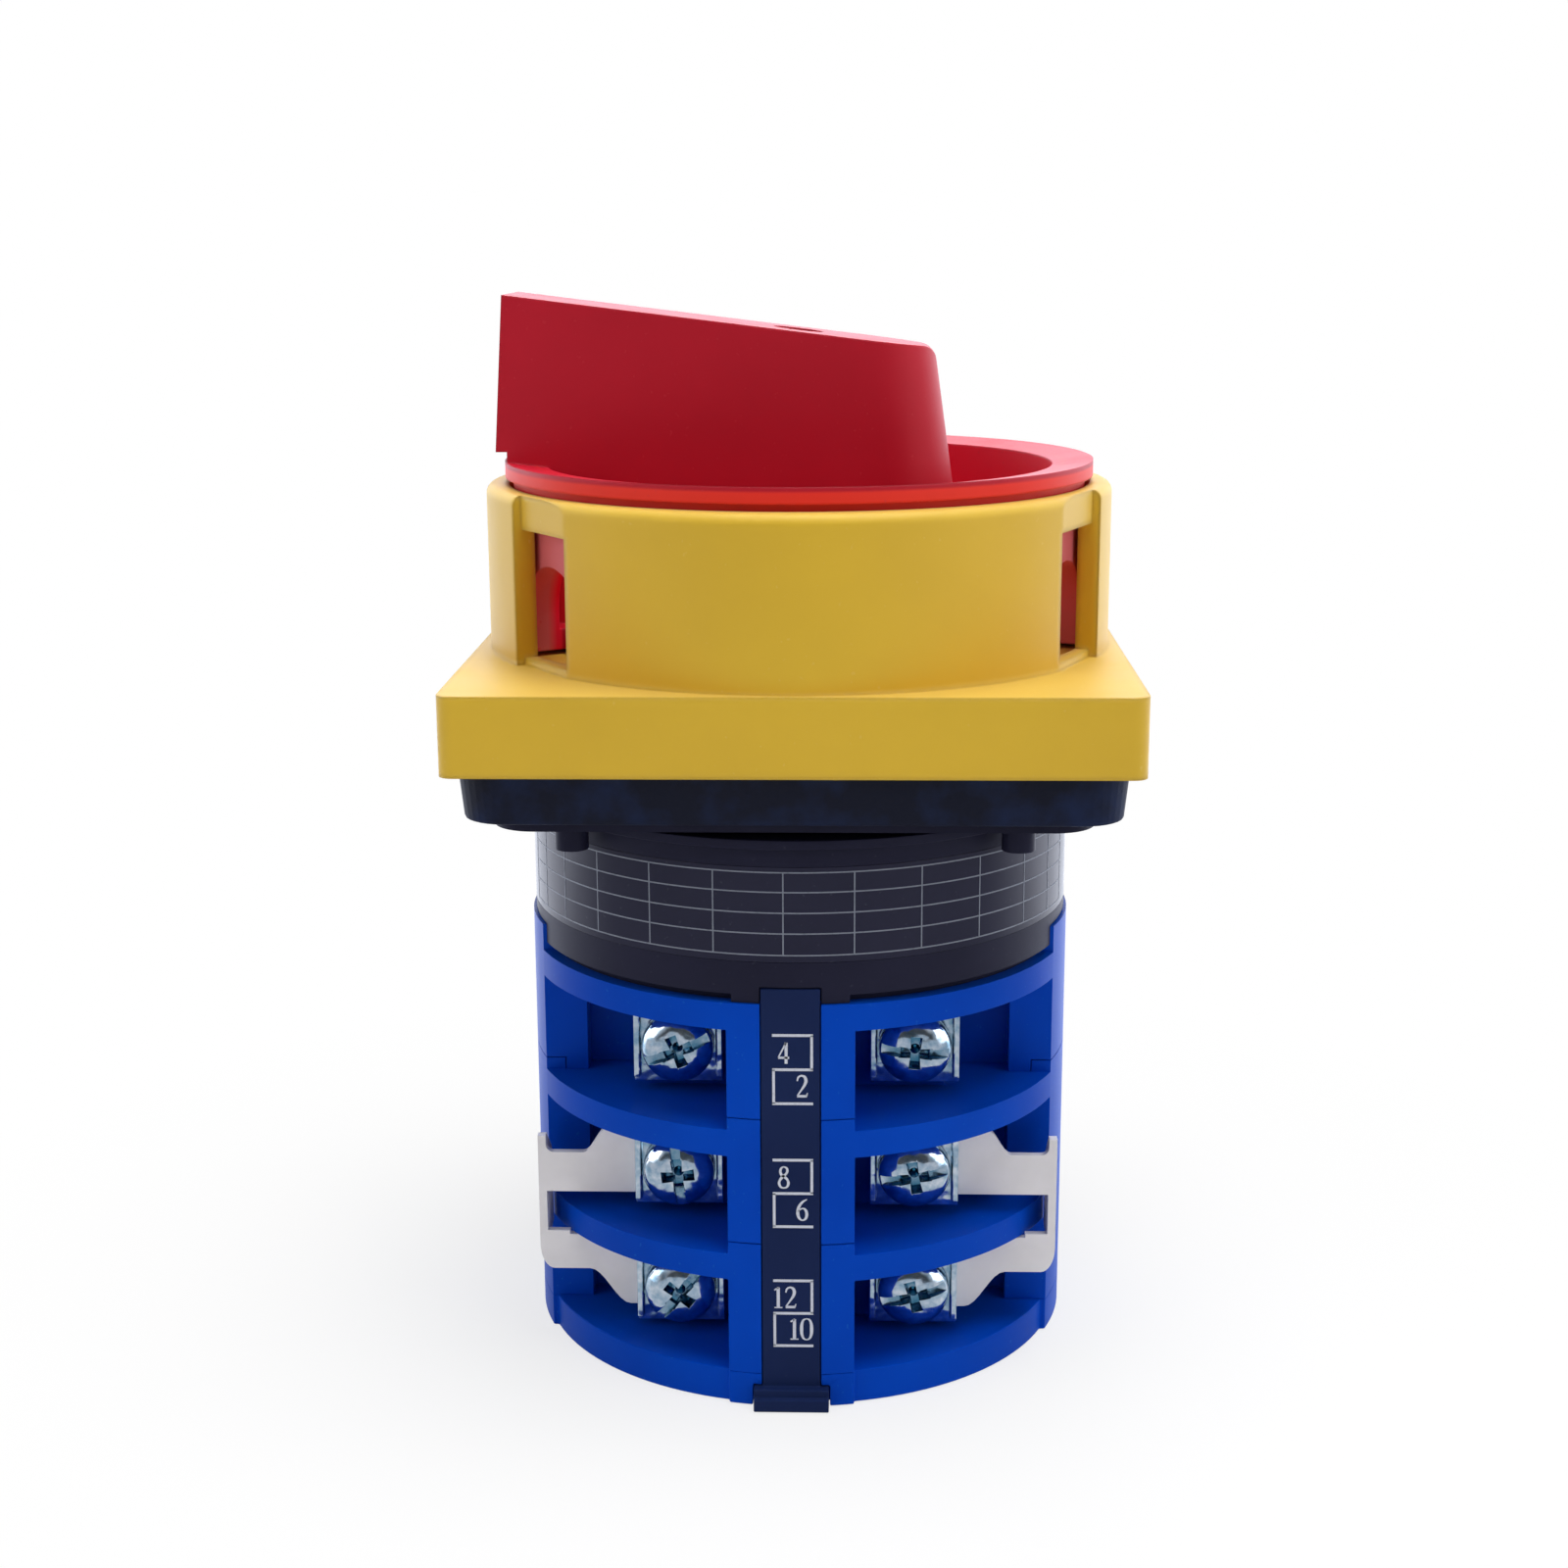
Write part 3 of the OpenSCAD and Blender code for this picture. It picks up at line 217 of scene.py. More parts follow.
@dataclass(frozen=True)
class Mottle:
    """A soft random pattern with features of about one size.

    The layers are its finer layers, the band is the part of it that is spread over 0 to 1, and finer
    says how many times finer it is along each axis.
    """

    feature_mm: float
    layers: float
    band: Pair | None = None
    finer: Point = (1, 1, 1)


class Shader(NodeMaker):
    """One procedural material, laid in the object's own coordinates."""

    def __init__(self, name: str) -> None:
        """Starts a material without a surface.

        Args:
            name: the material's name.
        """
        self.material = bpy.data.materials.new(name)
        self.material.use_nodes = True
        super().__init__(self.material.node_tree, "Object")

    def mottle(self, pattern: Mottle) -> Signal:
        """Lays a random pattern over the surface.

        Args:
            pattern: the pattern.

        Returns:
            A signal from 0 to 1.
        """
        place = self.add("ShaderNodeMapping", sockets={"Vector": self.place, "Scale": pattern.finer})
        sockets = {"Vector": place, "Scale": 1 / (pattern.feature_mm * MM), "Detail": pattern.layers}
        noise = self.add("ShaderNodeTexNoise", {"noise_dimensions": "3D"}, sockets, "Fac")
        return noise.between(*pattern.band) if pattern.band else noise

    def relief(self, height: Signal, depth_mm: float = 1.0, edge_mm: float = 0.0) -> Signal:
        """Turns a height into a bumped normal.

        Args:
            height: how high the surface is, as a share of the depth.
            depth_mm: depth of the relief.
            edge_mm: radius of the rounding along the edges, or 0 for none.

        Returns:
            The normal.
        """
        sockets = {"Distance": depth_mm * MM, "Height": height}
        if edge_mm:
            sockets["Normal"] = self.add("ShaderNodeBevel", {"samples": RAYS}, {"Radius": edge_mm * MM})
        return self.add("ShaderNodeBump", sockets=sockets, output="Normal")

    def occlusion_shade(self, reach_mm: float) -> Signal:
        """A signal for painted shade: 1 on open faces, falling to 0 deep in narrow recesses."""
        settings = {"samples": RAYS, "only_local": True}
        return self.add("ShaderNodeAmbientOcclusion", settings, {"Distance": reach_mm * MM}, "AO")

    def surface(self, **sockets: Value) -> bpy.types.Material:
        """Closes the material with a principled surface.

        Args:
            sockets: values by socket name, with an underscore for each blank.

        Returns:
            The finished material.
        """
        named = {key.replace("_", " "): value for key, value in sockets.items()}
        self.close("ShaderNodeOutputMaterial", self.add("ShaderNodeBsdfPrincipled", sockets=named))
        return self.material


@dataclass(frozen=True)
class PaintedLightZone:
    """Walls of a moulding outside a radius and below a height in mm, with painted light in their colour: a
    painted glow, bounced light and sheen.
    """

    colour: Colour
    r: float
    z: float
    soft_r: float = 0.3
    soft_z: float = 0.3

    def part(self, shader: Shader) -> Signal:
        """Finds where the painted light lies on the surface.

        Args:
            shader: the material.

        Returns:
            A signal that is 1 where the painted light lies, falling to 0 across its soft edges.
        """
        x, y, z = (shader.axis(name) for name in "XYZ")
        outside = (x * x + y * y).between((self.r * MM) ** 2, ((self.r + self.soft_r) * MM) ** 2)
        above = z.between(self.z * MM, (self.z + self.soft_z) * MM)
        return outside * (1 - above)


@dataclass(frozen=True)
class MouldedPlastic:
    """Moulded plastic with a fine spark grain, slow flow shading, dull scuffs and rare dust specks.

    Some of its walls have painted light mixed into their colour: a painted glow, bounced light and sheen.
    """

    name: str
    colour: Colour
    flow_colour: Colour
    speck_colour: Colour
    roughness: float = 0.4
    gloss: float = 0.1
    edge_mm: float = 0.0
    coat: float = 0.0
    coat_roughness: float = 0.12
    haze: float = 0.0
    haze_colour: Colour = WHITE
    haze_roughness: float = 0.5
    painted_light_zones: tuple[PaintedLightZone, ...] = ()
    flow: Mottle = Mottle(14.0, 3, (0.35, 0.7))
    specks: Mottle = Mottle(0.5, 1, (0.72, 0.8))
    speck_cover: float = 0.35
    grain: Mottle = Mottle(0.22, 2)
    grain_depth_mm: float = 0.004
    grain_dulls: float = 0.08
    scuffs: Mottle = Mottle(5.0, 4, (0.5, 0.8), (1, 1, 0.3))
    scuff_dulls: float = 0.06

    def material(self) -> bpy.types.Material:
        """Makes the material.

        Returns:
            The material.
        """
        shader = Shader(self.name)
        colour = shader.tint(shader.mottle(self.flow), self.colour, self.flow_colour)
        # Mixes the painted light into the colour: a painted glow, bounced light and sheen on some walls.
        for light_zone in self.painted_light_zones:
            colour = shader.tint(light_zone.part(shader), colour, light_zone.colour)
        specks = shader.mottle(self.specks) * self.speck_cover
        grain = shader.mottle(self.grain)
        scuffs = shader.mottle(self.scuffs)
        return shader.surface(
            Base_Color=shader.tint(specks, colour, self.speck_colour),
            Roughness=self.roughness + self.grain_dulls * grain + self.scuff_dulls * scuffs,
            Specular_IOR_Level=self.gloss,
            Normal=shader.relief(grain, self.grain_depth_mm, self.edge_mm),
            Coat_Weight=self.coat,
            Coat_Roughness=self.coat_roughness,
            Sheen_Weight=self.haze,
            Sheen_Roughness=self.haze_roughness,
            Sheen_Tint=paint(self.haze_colour),
        )


@dataclass(frozen=True)
class PlatedSteel:
    """Plated metal with clouds of two tints, fine drawn lines, shallow dents and painted shade in its
    recesses.
    """

    name: str
    colour: Colour
    cloud_colour: Colour
    roughness: float
    clouds: Mottle
    lines: Mottle = Mottle(0.5, 3)
    metal: float = 1.0
    line_depth_mm: float = 0.004
    line_dulls: float = 0.16
    dents: Mottle = Mottle(1.5, 1)
    dent_depth_mm: float = 0.0
    painted_shade_colour: Colour | None = None
    shade_reach_mm: float = 1.6
    shade_band: Pair = (0.35, 0.9)

    def material(self) -> bpy.types.Material:
        """Makes the material.

        Returns:
            The material.
        """
        shader = Shader(self.name)
        clouds = shader.mottle(self.clouds)
        lines = shader.mottle(self.lines)
        colour = shader.tint(clouds, self.colour, self.cloud_colour)
        if self.painted_shade_colour:
            # Painted shade: the colour darkens to the teal shade colour deep in recesses, by ambient
            # occlusion.
            unshaded = shader.occlusion_shade(self.shade_reach_mm).between(*self.shade_band)
            colour = shader.tint(unshaded, self.painted_shade_colour, colour)
        height_mm = lines * self.line_depth_mm + shader.mottle(self.dents) * self.dent_depth_mm
        return shader.surface(
            Base_Color=colour,
            Metallic=self.metal,
            Roughness=self.roughness + self.line_dulls * lines * clouds,
            Normal=shader.relief(height_mm),
        )


@dataclass(frozen=True)
class SealRubber:
    """Soft rubber with pores and pale moulding bloom."""

    name: str
    colour: Colour
    bloom_colour: Colour
    roughness: float = 0.62
    gloss: float = 0.15
    edge_mm: float = 0.3
    bloom: Mottle = Mottle(6.0, 4, (0.45, 0.8))
    bloom_dulls: float = 0.12
    pores: Mottle = Mottle(0.35, 2, (0.25, 0.5))
    pore_depth_mm: float = 0.012

    def material(self) -> bpy.types.Material:
        """Makes the material.

        Returns:
            The material.
        """
        shader = Shader(self.name)
        bloom = shader.mottle(self.bloom)
        pores = shader.mottle(self.pores)
        return shader.surface(
            Base_Color=shader.tint(bloom, self.colour, self.bloom_colour),
            Roughness=self.roughness + self.bloom_dulls * bloom,
            Specular_IOR_Level=self.gloss,
            Normal=shader.relief(pores, self.pore_depth_mm, self.edge_mm),
        )


@dataclass(frozen=True)
class PrintInk:
    """Screen printed ink with slightly uneven cover."""

    name: str
    colour: Colour
    thin_colour: Colour
    roughness: float = 0.5
    cover: Mottle = Mottle(0.3, 3, (0.55, 0.8))
    cover_dulls: float = 0.1

    def material(self) -> bpy.types.Material:
        """Makes the material.

        Returns:
            The material.
        """
        shader = Shader(self.name)
        cover = shader.mottle(self.cover)
        return shader.surface(
            Base_Color=shader.tint(cover, self.colour, self.thin_colour),
            Roughness=self.roughness + self.cover_dulls * cover,
        )


def cloudy(feature_mm: float) -> Mottle:
    """The clouds of a plated finish, with features of the given size."""
    return Mottle(feature_mm, 3, (0.3, 0.7))


class Finish(Enum):
    """The finishes of the switch, each made once."""

    YELLOW = MouldedPlastic(
        "moulded_yellow",
        colour=(217, 176, 31),
        flow_colour=(211, 170, 28),
        speck_colour=(222, 190, 92),
        roughness=0.46,
        gloss=0.45,
        edge_mm=0.9,
        haze=0.4,
        haze_colour=(255, 238, 200),
    )
    RED = MouldedPlastic(
        "moulded_red",
        colour=(184, 10, 38),
        flow_colour=(176, 6, 34),
        speck_colour=(196, 50, 60),
        roughness=0.46,
        gloss=0.28,
        edge_mm=0.3,
        # Painted light on the handle: a painted brighter red glow on the thin rim's walls, painted orange
        # light bounced from the yellow ring onto the rim, and a painted pink sheen on the drum wall below.
        painted_light_zones=(
            PaintedLightZone(colour=(232, 20, 56), r=24.9, z=89.0),
            PaintedLightZone(colour=(228, 46, 30), r=26.0, z=89.1),
            PaintedLightZone(colour=(210, 104, 112), r=25.6, z=86.0, soft_r=1.0),
        ),
    )
    BLUE = MouldedPlastic(
        "moulded_blue",
        colour=(0, 68, 186),
        flow_colour=(0, 62, 176),
        speck_colour=(40, 108, 194),
        roughness=0.32,
        gloss=0.04,
        haze=0.25,
        haze_colour=(40, 130, 240),
    )
    BLACK = MouldedPlastic(
        "moulded_black",
        colour=(34, 34, 54),
        flow_colour=(28, 28, 46),
        speck_colour=(60, 62, 76),
        roughness=0.42,
    )
    STRIP = MouldedPlastic(
        "strip_black",
        colour=(21, 37, 79),
        flow_colour=(17, 32, 72),
        speck_colour=(50, 58, 78),
        roughness=0.5,
    )
    SLEEVE = MouldedPlastic(
        "glossy_sleeve",
        colour=(38, 38, 58),
        flow_colour=(32, 32, 52),
        speck_colour=(70, 72, 88),
        roughness=0.3,
        coat=0.2,
        grain_depth_mm=0.001,
    )
    NYLON = MouldedPlastic(
        "pale_nylon",
        colour=(232, 226, 208),
        flow_colour=(222, 214, 192),
        speck_colour=(200, 190, 165),
        roughness=0.45,
    )
    SEAL = SealRubber("dark_rubber", colour=(17, 21, 38), bloom_colour=(26, 42, 80))
    ZINC = PlatedSteel(
        "zinc_plate",
        colour=(226, 234, 240),
        cloud_colour=(150, 184, 204),
        roughness=0.1,
        clouds=cloudy(0.9),
        dent_depth_mm=0.16,
        # Painted shade: the teal colour that the recesses in the heads and washers darken to.
        painted_shade_colour=(34, 116, 146),
    )
    LINK = PlatedSteel(
        "nickel_plate",
        colour=(238, 234, 234),
        cloud_colour=(226, 222, 222),
        roughness=0.45,
        clouds=cloudy(5.0),
        lines=Mottle(0.5, 3, finer=(0.3, 1, 1)),
        metal=0.15,
    )
    BRASS = PlatedSteel(
        "stamped_brass",
        colour=(222, 178, 110),
        cloud_colour=(200, 150, 84),
        roughness=0.28,
        clouds=cloudy(2.5),
    )
    SPRING = PlatedSteel(
        "spring_wire",
        colour=(176, 178, 182),
        cloud_colour=(140, 142, 148),
        roughness=0.24,
        clouds=cloudy(1.0),
    )
    SHAFT = PlatedSteel(
        "drawn_bar",
        colour=(170, 172, 176),
        cloud_colour=(140, 142, 148),
        roughness=0.3,
        clouds=cloudy(4.0),
        lines=Mottle(0.5, 3, finer=(3, 3, 0.2)),
    )
    INK = PrintInk("print_ink", colour=(204, 208, 220), thin_colour=(180, 184, 198))
    FAINT_INK = PrintInk("faint_ink", colour=(120, 126, 140), thin_colour=(96, 102, 116))

    def material(self) -> bpy.types.Material:
        """The material of this finish, made at its first use."""
        made = bpy.data.materials.get(self.value.name)
        return made or self.value.material()


def ring(radius: float, sides: int) -> list[Pair]:
    """Even points round a circle."""
    turns = [2 * math.pi * j / sides for j in range(sides)]
    return [(radius * math.cos(a), radius * math.sin(a)) for a in turns]


def ramp(value: float, low: float, high: float) -> float:
    """How far a value has come from low to high, from 0 to 1."""
    return min(max((value - low) / (high - low), 0.0), 1.0)


class MeshMaker:
    """Collects points and faces in millimetres and turns them into a mesh."""

    def __init__(self) -> None:
        """Starts with nothing."""
        self.points: list[Vector] = []
        self.faces: list[list[int]] = []

    def grid(self, rows: Sequence[Sequence[Point]], around: bool = True, capped: bool = True) -> None:
        """Skins rows of points.

        Args:
            rows: rows with the same number of points.
            around: whether each row closes on itself.
            capped: whether the first and last rows are closed with a face.
        """
        start = len(self.points)
        count = len(rows[0])
        for row in rows:
            self.points += [Vector(p) for p in row]
        for i in range(len(rows) - 1):
            here = start + i * count
            there = here + count
            for j in range(count if around else count - 1):
                k = (j + 1) % count
                self.faces.append([here + j, here + k, there + k, there + j])
        if capped:
            last = start + (len(rows) - 1) * count
            self.faces.append(list(range(start + count - 1, start - 1, -1)))
            self.faces.append(list(range(last, last + count)))

    def lathe(self, profile: Sequence[Pair], sides: int) -> None:
        """Turns a profile about Z, closed at both ends.

        Args:
            profile: radius and height of each ring, from the bottom up.
            sides: number of sides.
        """
        self.grid([[(x, y, z) for x, y in ring(r, sides)] for r, z in profile])

    def prism(self, outline: Sequence[Pair], low: float, high: float, taper: float = 1.0) -> None:
        """Raises an outline from one height to another.

        Args:
            outline: corners in the XY plane, anticlockwise.
            low: height of the bottom.
            high: height of the top.
            taper: size of the bottom as a share of the top.
        """
        bottom = [(x * taper, y * taper, low) for x, y in outline]
        self.grid([bottom, [(x, y, high) for x, y in outline]])

    def mesh(self, name: str, place: Matrix = STILL) -> bpy.types.Mesh:
        """Makes the mesh.

        Args:
            name: its name.
            place: its place, in millimetres.

        Returns:
            The mesh, in metres.
        """
        mesh = bpy.data.meshes.new(name)
        mesh.from_pydata([(place @ p) * MM for p in self.points], [], self.faces)
        mesh.validate()
        mesh.update()
        return mesh


def link_object(name: str, mesh: bpy.types.Mesh) -> bpy.types.Object:
    """Puts a mesh into the scene.

    Args:
        name: name of the object.
        mesh: the mesh.

    Returns:
        The object.
    """
    made = bpy.data.objects.new(name, mesh)
    bpy.context.scene.collection.objects.link(made)
    return made


def applied(made: bpy.types.Object) -> bpy.types.Mesh:
    """Works out an object's modifiers and takes the object away.

    Args:
        made: the object, which is removed.

    Returns:
        The mesh with its modifiers applied.
    """
    bpy.context.view_layer.update()
    graph = bpy.context.evaluated_depsgraph_get()
    mesh = bpy.data.meshes.new_from_object(made.evaluated_get(graph))
    bpy.data.objects.remove(made)
    return mesh


def shade_by_angle(mesh: bpy.types.Mesh, degrees: float = 35.0) -> None:
    """Smooths a mesh over all edges that bend less than an angle."""
    mesh.polygons.foreach_set("use_smooth", [True] * len(mesh.polygons))
    mesh.set_sharp_from_angle(angle=math.radians(degrees))


def gather(name: str, parts: Iterable[tuple[bpy.types.Mesh, Matrix]]) -> bpy.types.Mesh:
    """Copies meshes to their places and gathers them in one mesh.

    Args:
        name: name of the new mesh.
        parts: meshes in metres, each with its place in millimetres.

    Returns:
        The gathered mesh.
    """
    points: list[Point] = []
    faces: list[list[int]] = []
    for mesh, place in parts:
        start = len(points)
        metres = place.copy()
        metres.translation = place.translation * MM
        points += [tuple(metres @ v.co) for v in mesh.vertices]
        faces += [[start + i for i in p.vertices] for p in mesh.polygons]
    made = bpy.data.meshes.new(name)
    made.from_pydata(points, [], faces)
    made.update()
    return made


def hand_over(
    name: str,
    mesh: bpy.types.Mesh,
    finish: Finish,
    body: str,
    nodes: Sequence[str] = (),
) -> None:
    """Makes a finished piece and tells the frame about it.

    Args:
        name: name of the piece.
        mesh: its mesh, in place.
        finish: its finish.
        body: the body that it moves with.
        nodes: the nodes of the frame that it replaces.
    """
    shade_by_angle(mesh)
    piece = link_object(name, mesh)
    piece.data.materials.append(finish.material())
    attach(piece, body)
    if nodes:
        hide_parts(*nodes)
    log.info("%s rides on %s, %d faces", name, body, len(mesh.polygons))


def dress(node: str, finish: Finish, edge_mm: float = 0.0) -> None:
    """Gives a node of the frame its finish and soft edges.

    Args:
        node: the node's name.
        finish: its finish.
        edge_mm: width of the rounding along its edges, or 0 for none.
    """
    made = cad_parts[node]
    for slot in made.material_slots:
        slot.material = finish.material()
    if edge_mm:
        soften(made, edge_mm)
    log.info("%s is dressed in %s", node, finish.value.name)


def soften(made: bpy.types.Object, edge_mm: float) -> None:
    """Joins up an object's flat faces and rounds its sharp edges.

    Args:
        made: the object.
        edge_mm: width of the rounding.
    """
    weld = made.modifiers.new("weld", "WELD")
    weld.merge_threshold = MERGE_MM * MM
    merge = made.modifiers.new("flat_faces", "DECIMATE")
    merge.decimate_type = "DISSOLVE"
    merge.angle_limit = math.radians(FLAT_DEGREES)
    edge = made.modifiers.new("soft_edges", "BEVEL")
    edge.width = edge_mm * MM
    edge.segments = ROUNDING_STEPS
    edge.limit_method = "ANGLE"
    edge.angle_limit = math.radians(SHARP_DEGREES)
    edge.use_clamp_overlap = True
    edge.miter_outer = "MITER_ARC"
    even = made.modifiers.new("even_shading", "WEIGHTED_NORMAL")
    even.keep_sharp = True


class Recess(Enum):
    """What a driver fits in a screw's head."""

    CROSS = "cross"
    CROSS_AND_SLOT = "cross and slot"


@dataclass(frozen=True)
class Screw:
    """A screw that stands along +Z, with the underside of its head at z = 0 and its shank below.

    The head's details are shares of its radius or, for heights, of its height. The thread is as deep as
    a share of its pitch and a little more, but no deeper than a share of the shank's radius.
    """

    head_r: float
    head_h: float
    shank_r: float
    shank_l: float
    thread_l: float
    pitch: float = 0.7
    recess: Recess = Recess.CROSS
    sides: int = 48
    flank: float = 0.3
    lip: float = 0.05
    edge: float = 0.035
    edge_steps: int = 3
    edge_degrees: float = 40
    dome_power: float = 0.6
    dome_steps: int = 12
    dome_sweep: float = 88.0
    dome_tip_r: float = 0.02
    bar_reach: float = 0.48
    bar_waist: float = 0.13
    bar_end: float = 0.17
    bar_floor: float = 0.42
    bar_taper: float = 0.75
    pit: tuple[Pair, Pair] = ((0.04, 0.1), (0.24, 0.7))
    pit_sides: int = 16
    slot_reach: float = 1.1
    slot_half: float = 0.135
    slot_floor: float = 0.62
    bar_over_mm: float = 0.3
    slot_over_mm: float = 0.4
    shank_sides: int = 24
    cut: float = 0.18
    cut_mm: float = 0.1
    cut_most: float = 0.25
    pitch_steps: int = 4
    plain_mm: float = 0.5
    root_mm: float = 0.15
    tip_mm: float = 0.35
    tip_drop_mm: float = 0.2

    def head(self) -> bpy.types.Mesh:
        """Makes the domed head with its recess and softened edges.

        Returns:
            The mesh of the head.
        """
        body = MeshMaker()
        body.lathe(self.profile(), self.sides)
        head = link_object("screw_head", body.mesh("screw_head"))
        cutters = [self.bar(0.0), self.bar(90.0), self.point()]
        if self.recess is Recess.CROSS_AND_SLOT:
            cutters.append(self.slot())
        tools = [link_object("cutter", c.mesh("cutter")) for c in cutters]
        for tool in tools:
            cut = head.modifiers.new("recess", "BOOLEAN")
            cut.operation = "DIFFERENCE"
            cut.solver = "EXACT"
            cut.object = tool
        edge = head.modifiers.new("edges", "BEVEL")
        edge.width = self.edge * self.head_r * MM
        edge.segments = self.edge_steps
        edge.limit_method = "ANGLE"
        edge.angle_limit = math.radians(self.edge_degrees)
        mesh = applied(head)
        for tool in tools:
            bpy.data.objects.remove(tool)
        return mesh

    def profile(self) -> list[Pair]:
        """Draws the side of the head.

        Returns:
            Radius and height of its points, from the middle of its underside up.
        """
        lip = self.lip * self.head_r
        rise = self.flank * self.head_h
        profile = [(self.dome_tip_r, 0.0), (self.head_r - lip, 0.0), (self.head_r, lip)]
        for i in range(1, self.dome_steps + 1):
            t = math.radians(self.dome_sweep * i / self.dome_steps)
            height = rise + (self.head_h - rise) * math.sin(t)
            profile.append((self.head_r * math.cos(t) ** self.dome_power, height))
        return profile

    def bar(self, turn: float) -> MeshMaker:
        """Makes the cutter for one tapered bar of the cross recess, which is wider at its ends.

        Args:
            turn: its direction, in degrees.

        Returns:
            The cutter.
        """
        reach, waist, end = (share * self.head_r for share in (self.bar_reach, self.bar_waist, self.bar_end))
        cos_t = math.cos(math.radians(turn))
        sin_t = math.sin(math.radians(turn))
        corners = [(-reach, -end), (0, -waist), (reach, -end), (reach, end), (0, waist), (-reach, end)]
        outline = [(x * cos_t - y * sin_t, x * sin_t + y * cos_t) for x, y in corners]
        made = MeshMaker()
        made.prism(outline, self.bar_floor * self.head_h, self.head_h + self.bar_over_mm, self.bar_taper)
        return made

    def point(self) -> MeshMaker:
        """Makes the cutter for the deep hole in the middle of the cross recess.

        Returns:
            The cutter.
        """
        made = MeshMaker()
        made.lathe([(r * self.head_r, z * self.head_h) for r, z in self.pit], self.pit_sides)
        return made

    def slot(self) -> MeshMaker:
        """Makes the cutter for the straight slot across the whole head.

        Returns:
            The cutter.
        """
        half = self.slot_half * self.head_r
        reach = self.slot_reach * self.head_r
        outline = [(-reach, -half), (reach, -half), (reach, half), (-reach, half)]
        made = MeshMaker()
        made.prism(outline, self.slot_floor * self.head_h, self.head_h + self.slot_over_mm)
        return made

    def shank(self) -> bpy.types.Mesh:
        """Makes the shank with its thread, from inside the head to the tip.

        Returns:
            The mesh of the shank.
        """
        depth = min(self.cut * self.pitch + self.cut_mm, self.cut_most * self.shank_r)
        plain_l = max(self.shank_l - self.thread_l, 0.0)
        heights = [self.root_mm, -plain_l / 2] if plain_l > self.plain_mm else [self.root_mm]
        level = -plain_l
        while level > -self.shank_l + self.tip_mm:
            heights.append(level)
            level -= self.pitch / self.pitch_steps
        rows = []
        for z in heights:
            groove = depth if z < -plain_l else 0.0
            row = []
            for j, (x, y) in enumerate(ring(1.0, self.shank_sides)):
                phase = (z / self.pitch + j / self.shank_sides) % 1.0
                radius = self.shank_r - groove * abs(2 * phase - 1)
                row.append((radius * x, radius * y, z))
            rows.append(row)
        end = ring(self.shank_r - depth - self.tip_drop_mm, self.shank_sides)
        rows.append([(x, y, -self.shank_l) for x, y in end])
        made = MeshMaker()
        made.grid(rows[::-1])
        return made.mesh("screw_shank")

    def whole(self) -> bpy.types.Mesh:
        """Makes the whole screw once, for all its copies."""
        return gather("screw", [(self.head(), STILL), (self.shank(), STILL)])


def set_screws(
    name: str, node: str, screw: bpy.types.Mesh, places: Iterable[Matrix], body: str = FIXED
) -> None:
    """Sets copies of a screw in place of a node's plain ones.

    Args:
        name: name of the piece that holds the copies.
        node: the node that it replaces.
        screw: the mesh of one screw.
        places: where the copies go, in millimetres.
        body: the body that they move with.
    """
    mesh = gather(name, [(screw, place) for place in places])
    hand_over(name, mesh, Finish.ZINC, body, [node])


@dataclass(frozen=True)
class Spring:
    """A compression spring of round wire with closed ends."""

    mean_r: float
    wire: float
    turns: float
    closed_turns: float = 0.8
    sides: int = 10
    steps: int = 22

    def mesh(self, name: str, start: Vector, end: Vector) -> bpy.types.Mesh:
        """Winds the spring between two points.

        Args:
            name: name of the mesh.
            start: centre of the first end, in millimetres.
            end: centre of the other end, in millimetres.

        Returns:
            The mesh.
        """
        axis = (end - start).normalized()
        length = (end - start).length - self.wire
        side = axis.cross(Vector((0, 0, 1))).normalized()
        lift = side.cross(axis)
        section = ring(self.wire / 2, self.sides)
        total = round(self.turns * self.steps)
        rows = []
        for i in range(total + 1):
            angle = 2 * math.pi * self.turns * i / total
            outward = side * math.cos(angle) + lift * math.sin(angle)
            along = axis * (self.wire / 2 + self.rise(i / total, length))
            centre = start + along + outward * self.mean_r
            rows.append([tuple(centre + outward * x + axis * y) for x, y in section])
        made = MeshMaker()
        made.grid(rows)
        return made.mesh(name)

    def rise(self, share: float, length: float) -> float:
        """Finds how far along the axis the wire has come.

        Args:
            share: share of the wire that is wound.
            length: distance that the whole wire comes along the axis.

        Returns:
            The distance, with one wire's thickness to a turn in the closed ends.
        """
        closed = self.closed_turns / self.turns
        end_rise = self.closed_turns * self.wire
        ends = ramp(share, 0.0, closed) + ramp(share, 1 - closed, 1.0)
        return ramp(share, closed, 1 - closed) * (length - 2 * end_rise) + ends * end_rise


def extent(node: str) -> tuple[Vector, Vector]:
    """The lowest and highest corners of a node, in millimetres."""
    low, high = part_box(node)
    return low / MM, high / MM


def middle_z(node: str) -> float:
    """The height of a node's middle."""
    low, high = extent(node)
    return (low.z + high.z) / 2


def seat_z(node: str, screw: Screw) -> float:
    """The height of the seat under the heads of a node's upright screws."""
    return extent(node)[1].z - screw.head_h


@dataclass
class FrontAssembly:
    """The yellow front plate, the seal and the mounting plate behind it."""

    seal_edge: float = 0.25
    mount_edge: float = 0.15

    def dress(self) -> None:
        """Gives the three plates their finishes."""
        dress("front_plate", Finish.YELLOW)
        dress("panel_seal", Finish.SEAL, self.seal_edge)
        dress("mounting_plate", Finish.BLACK, self.mount_edge)


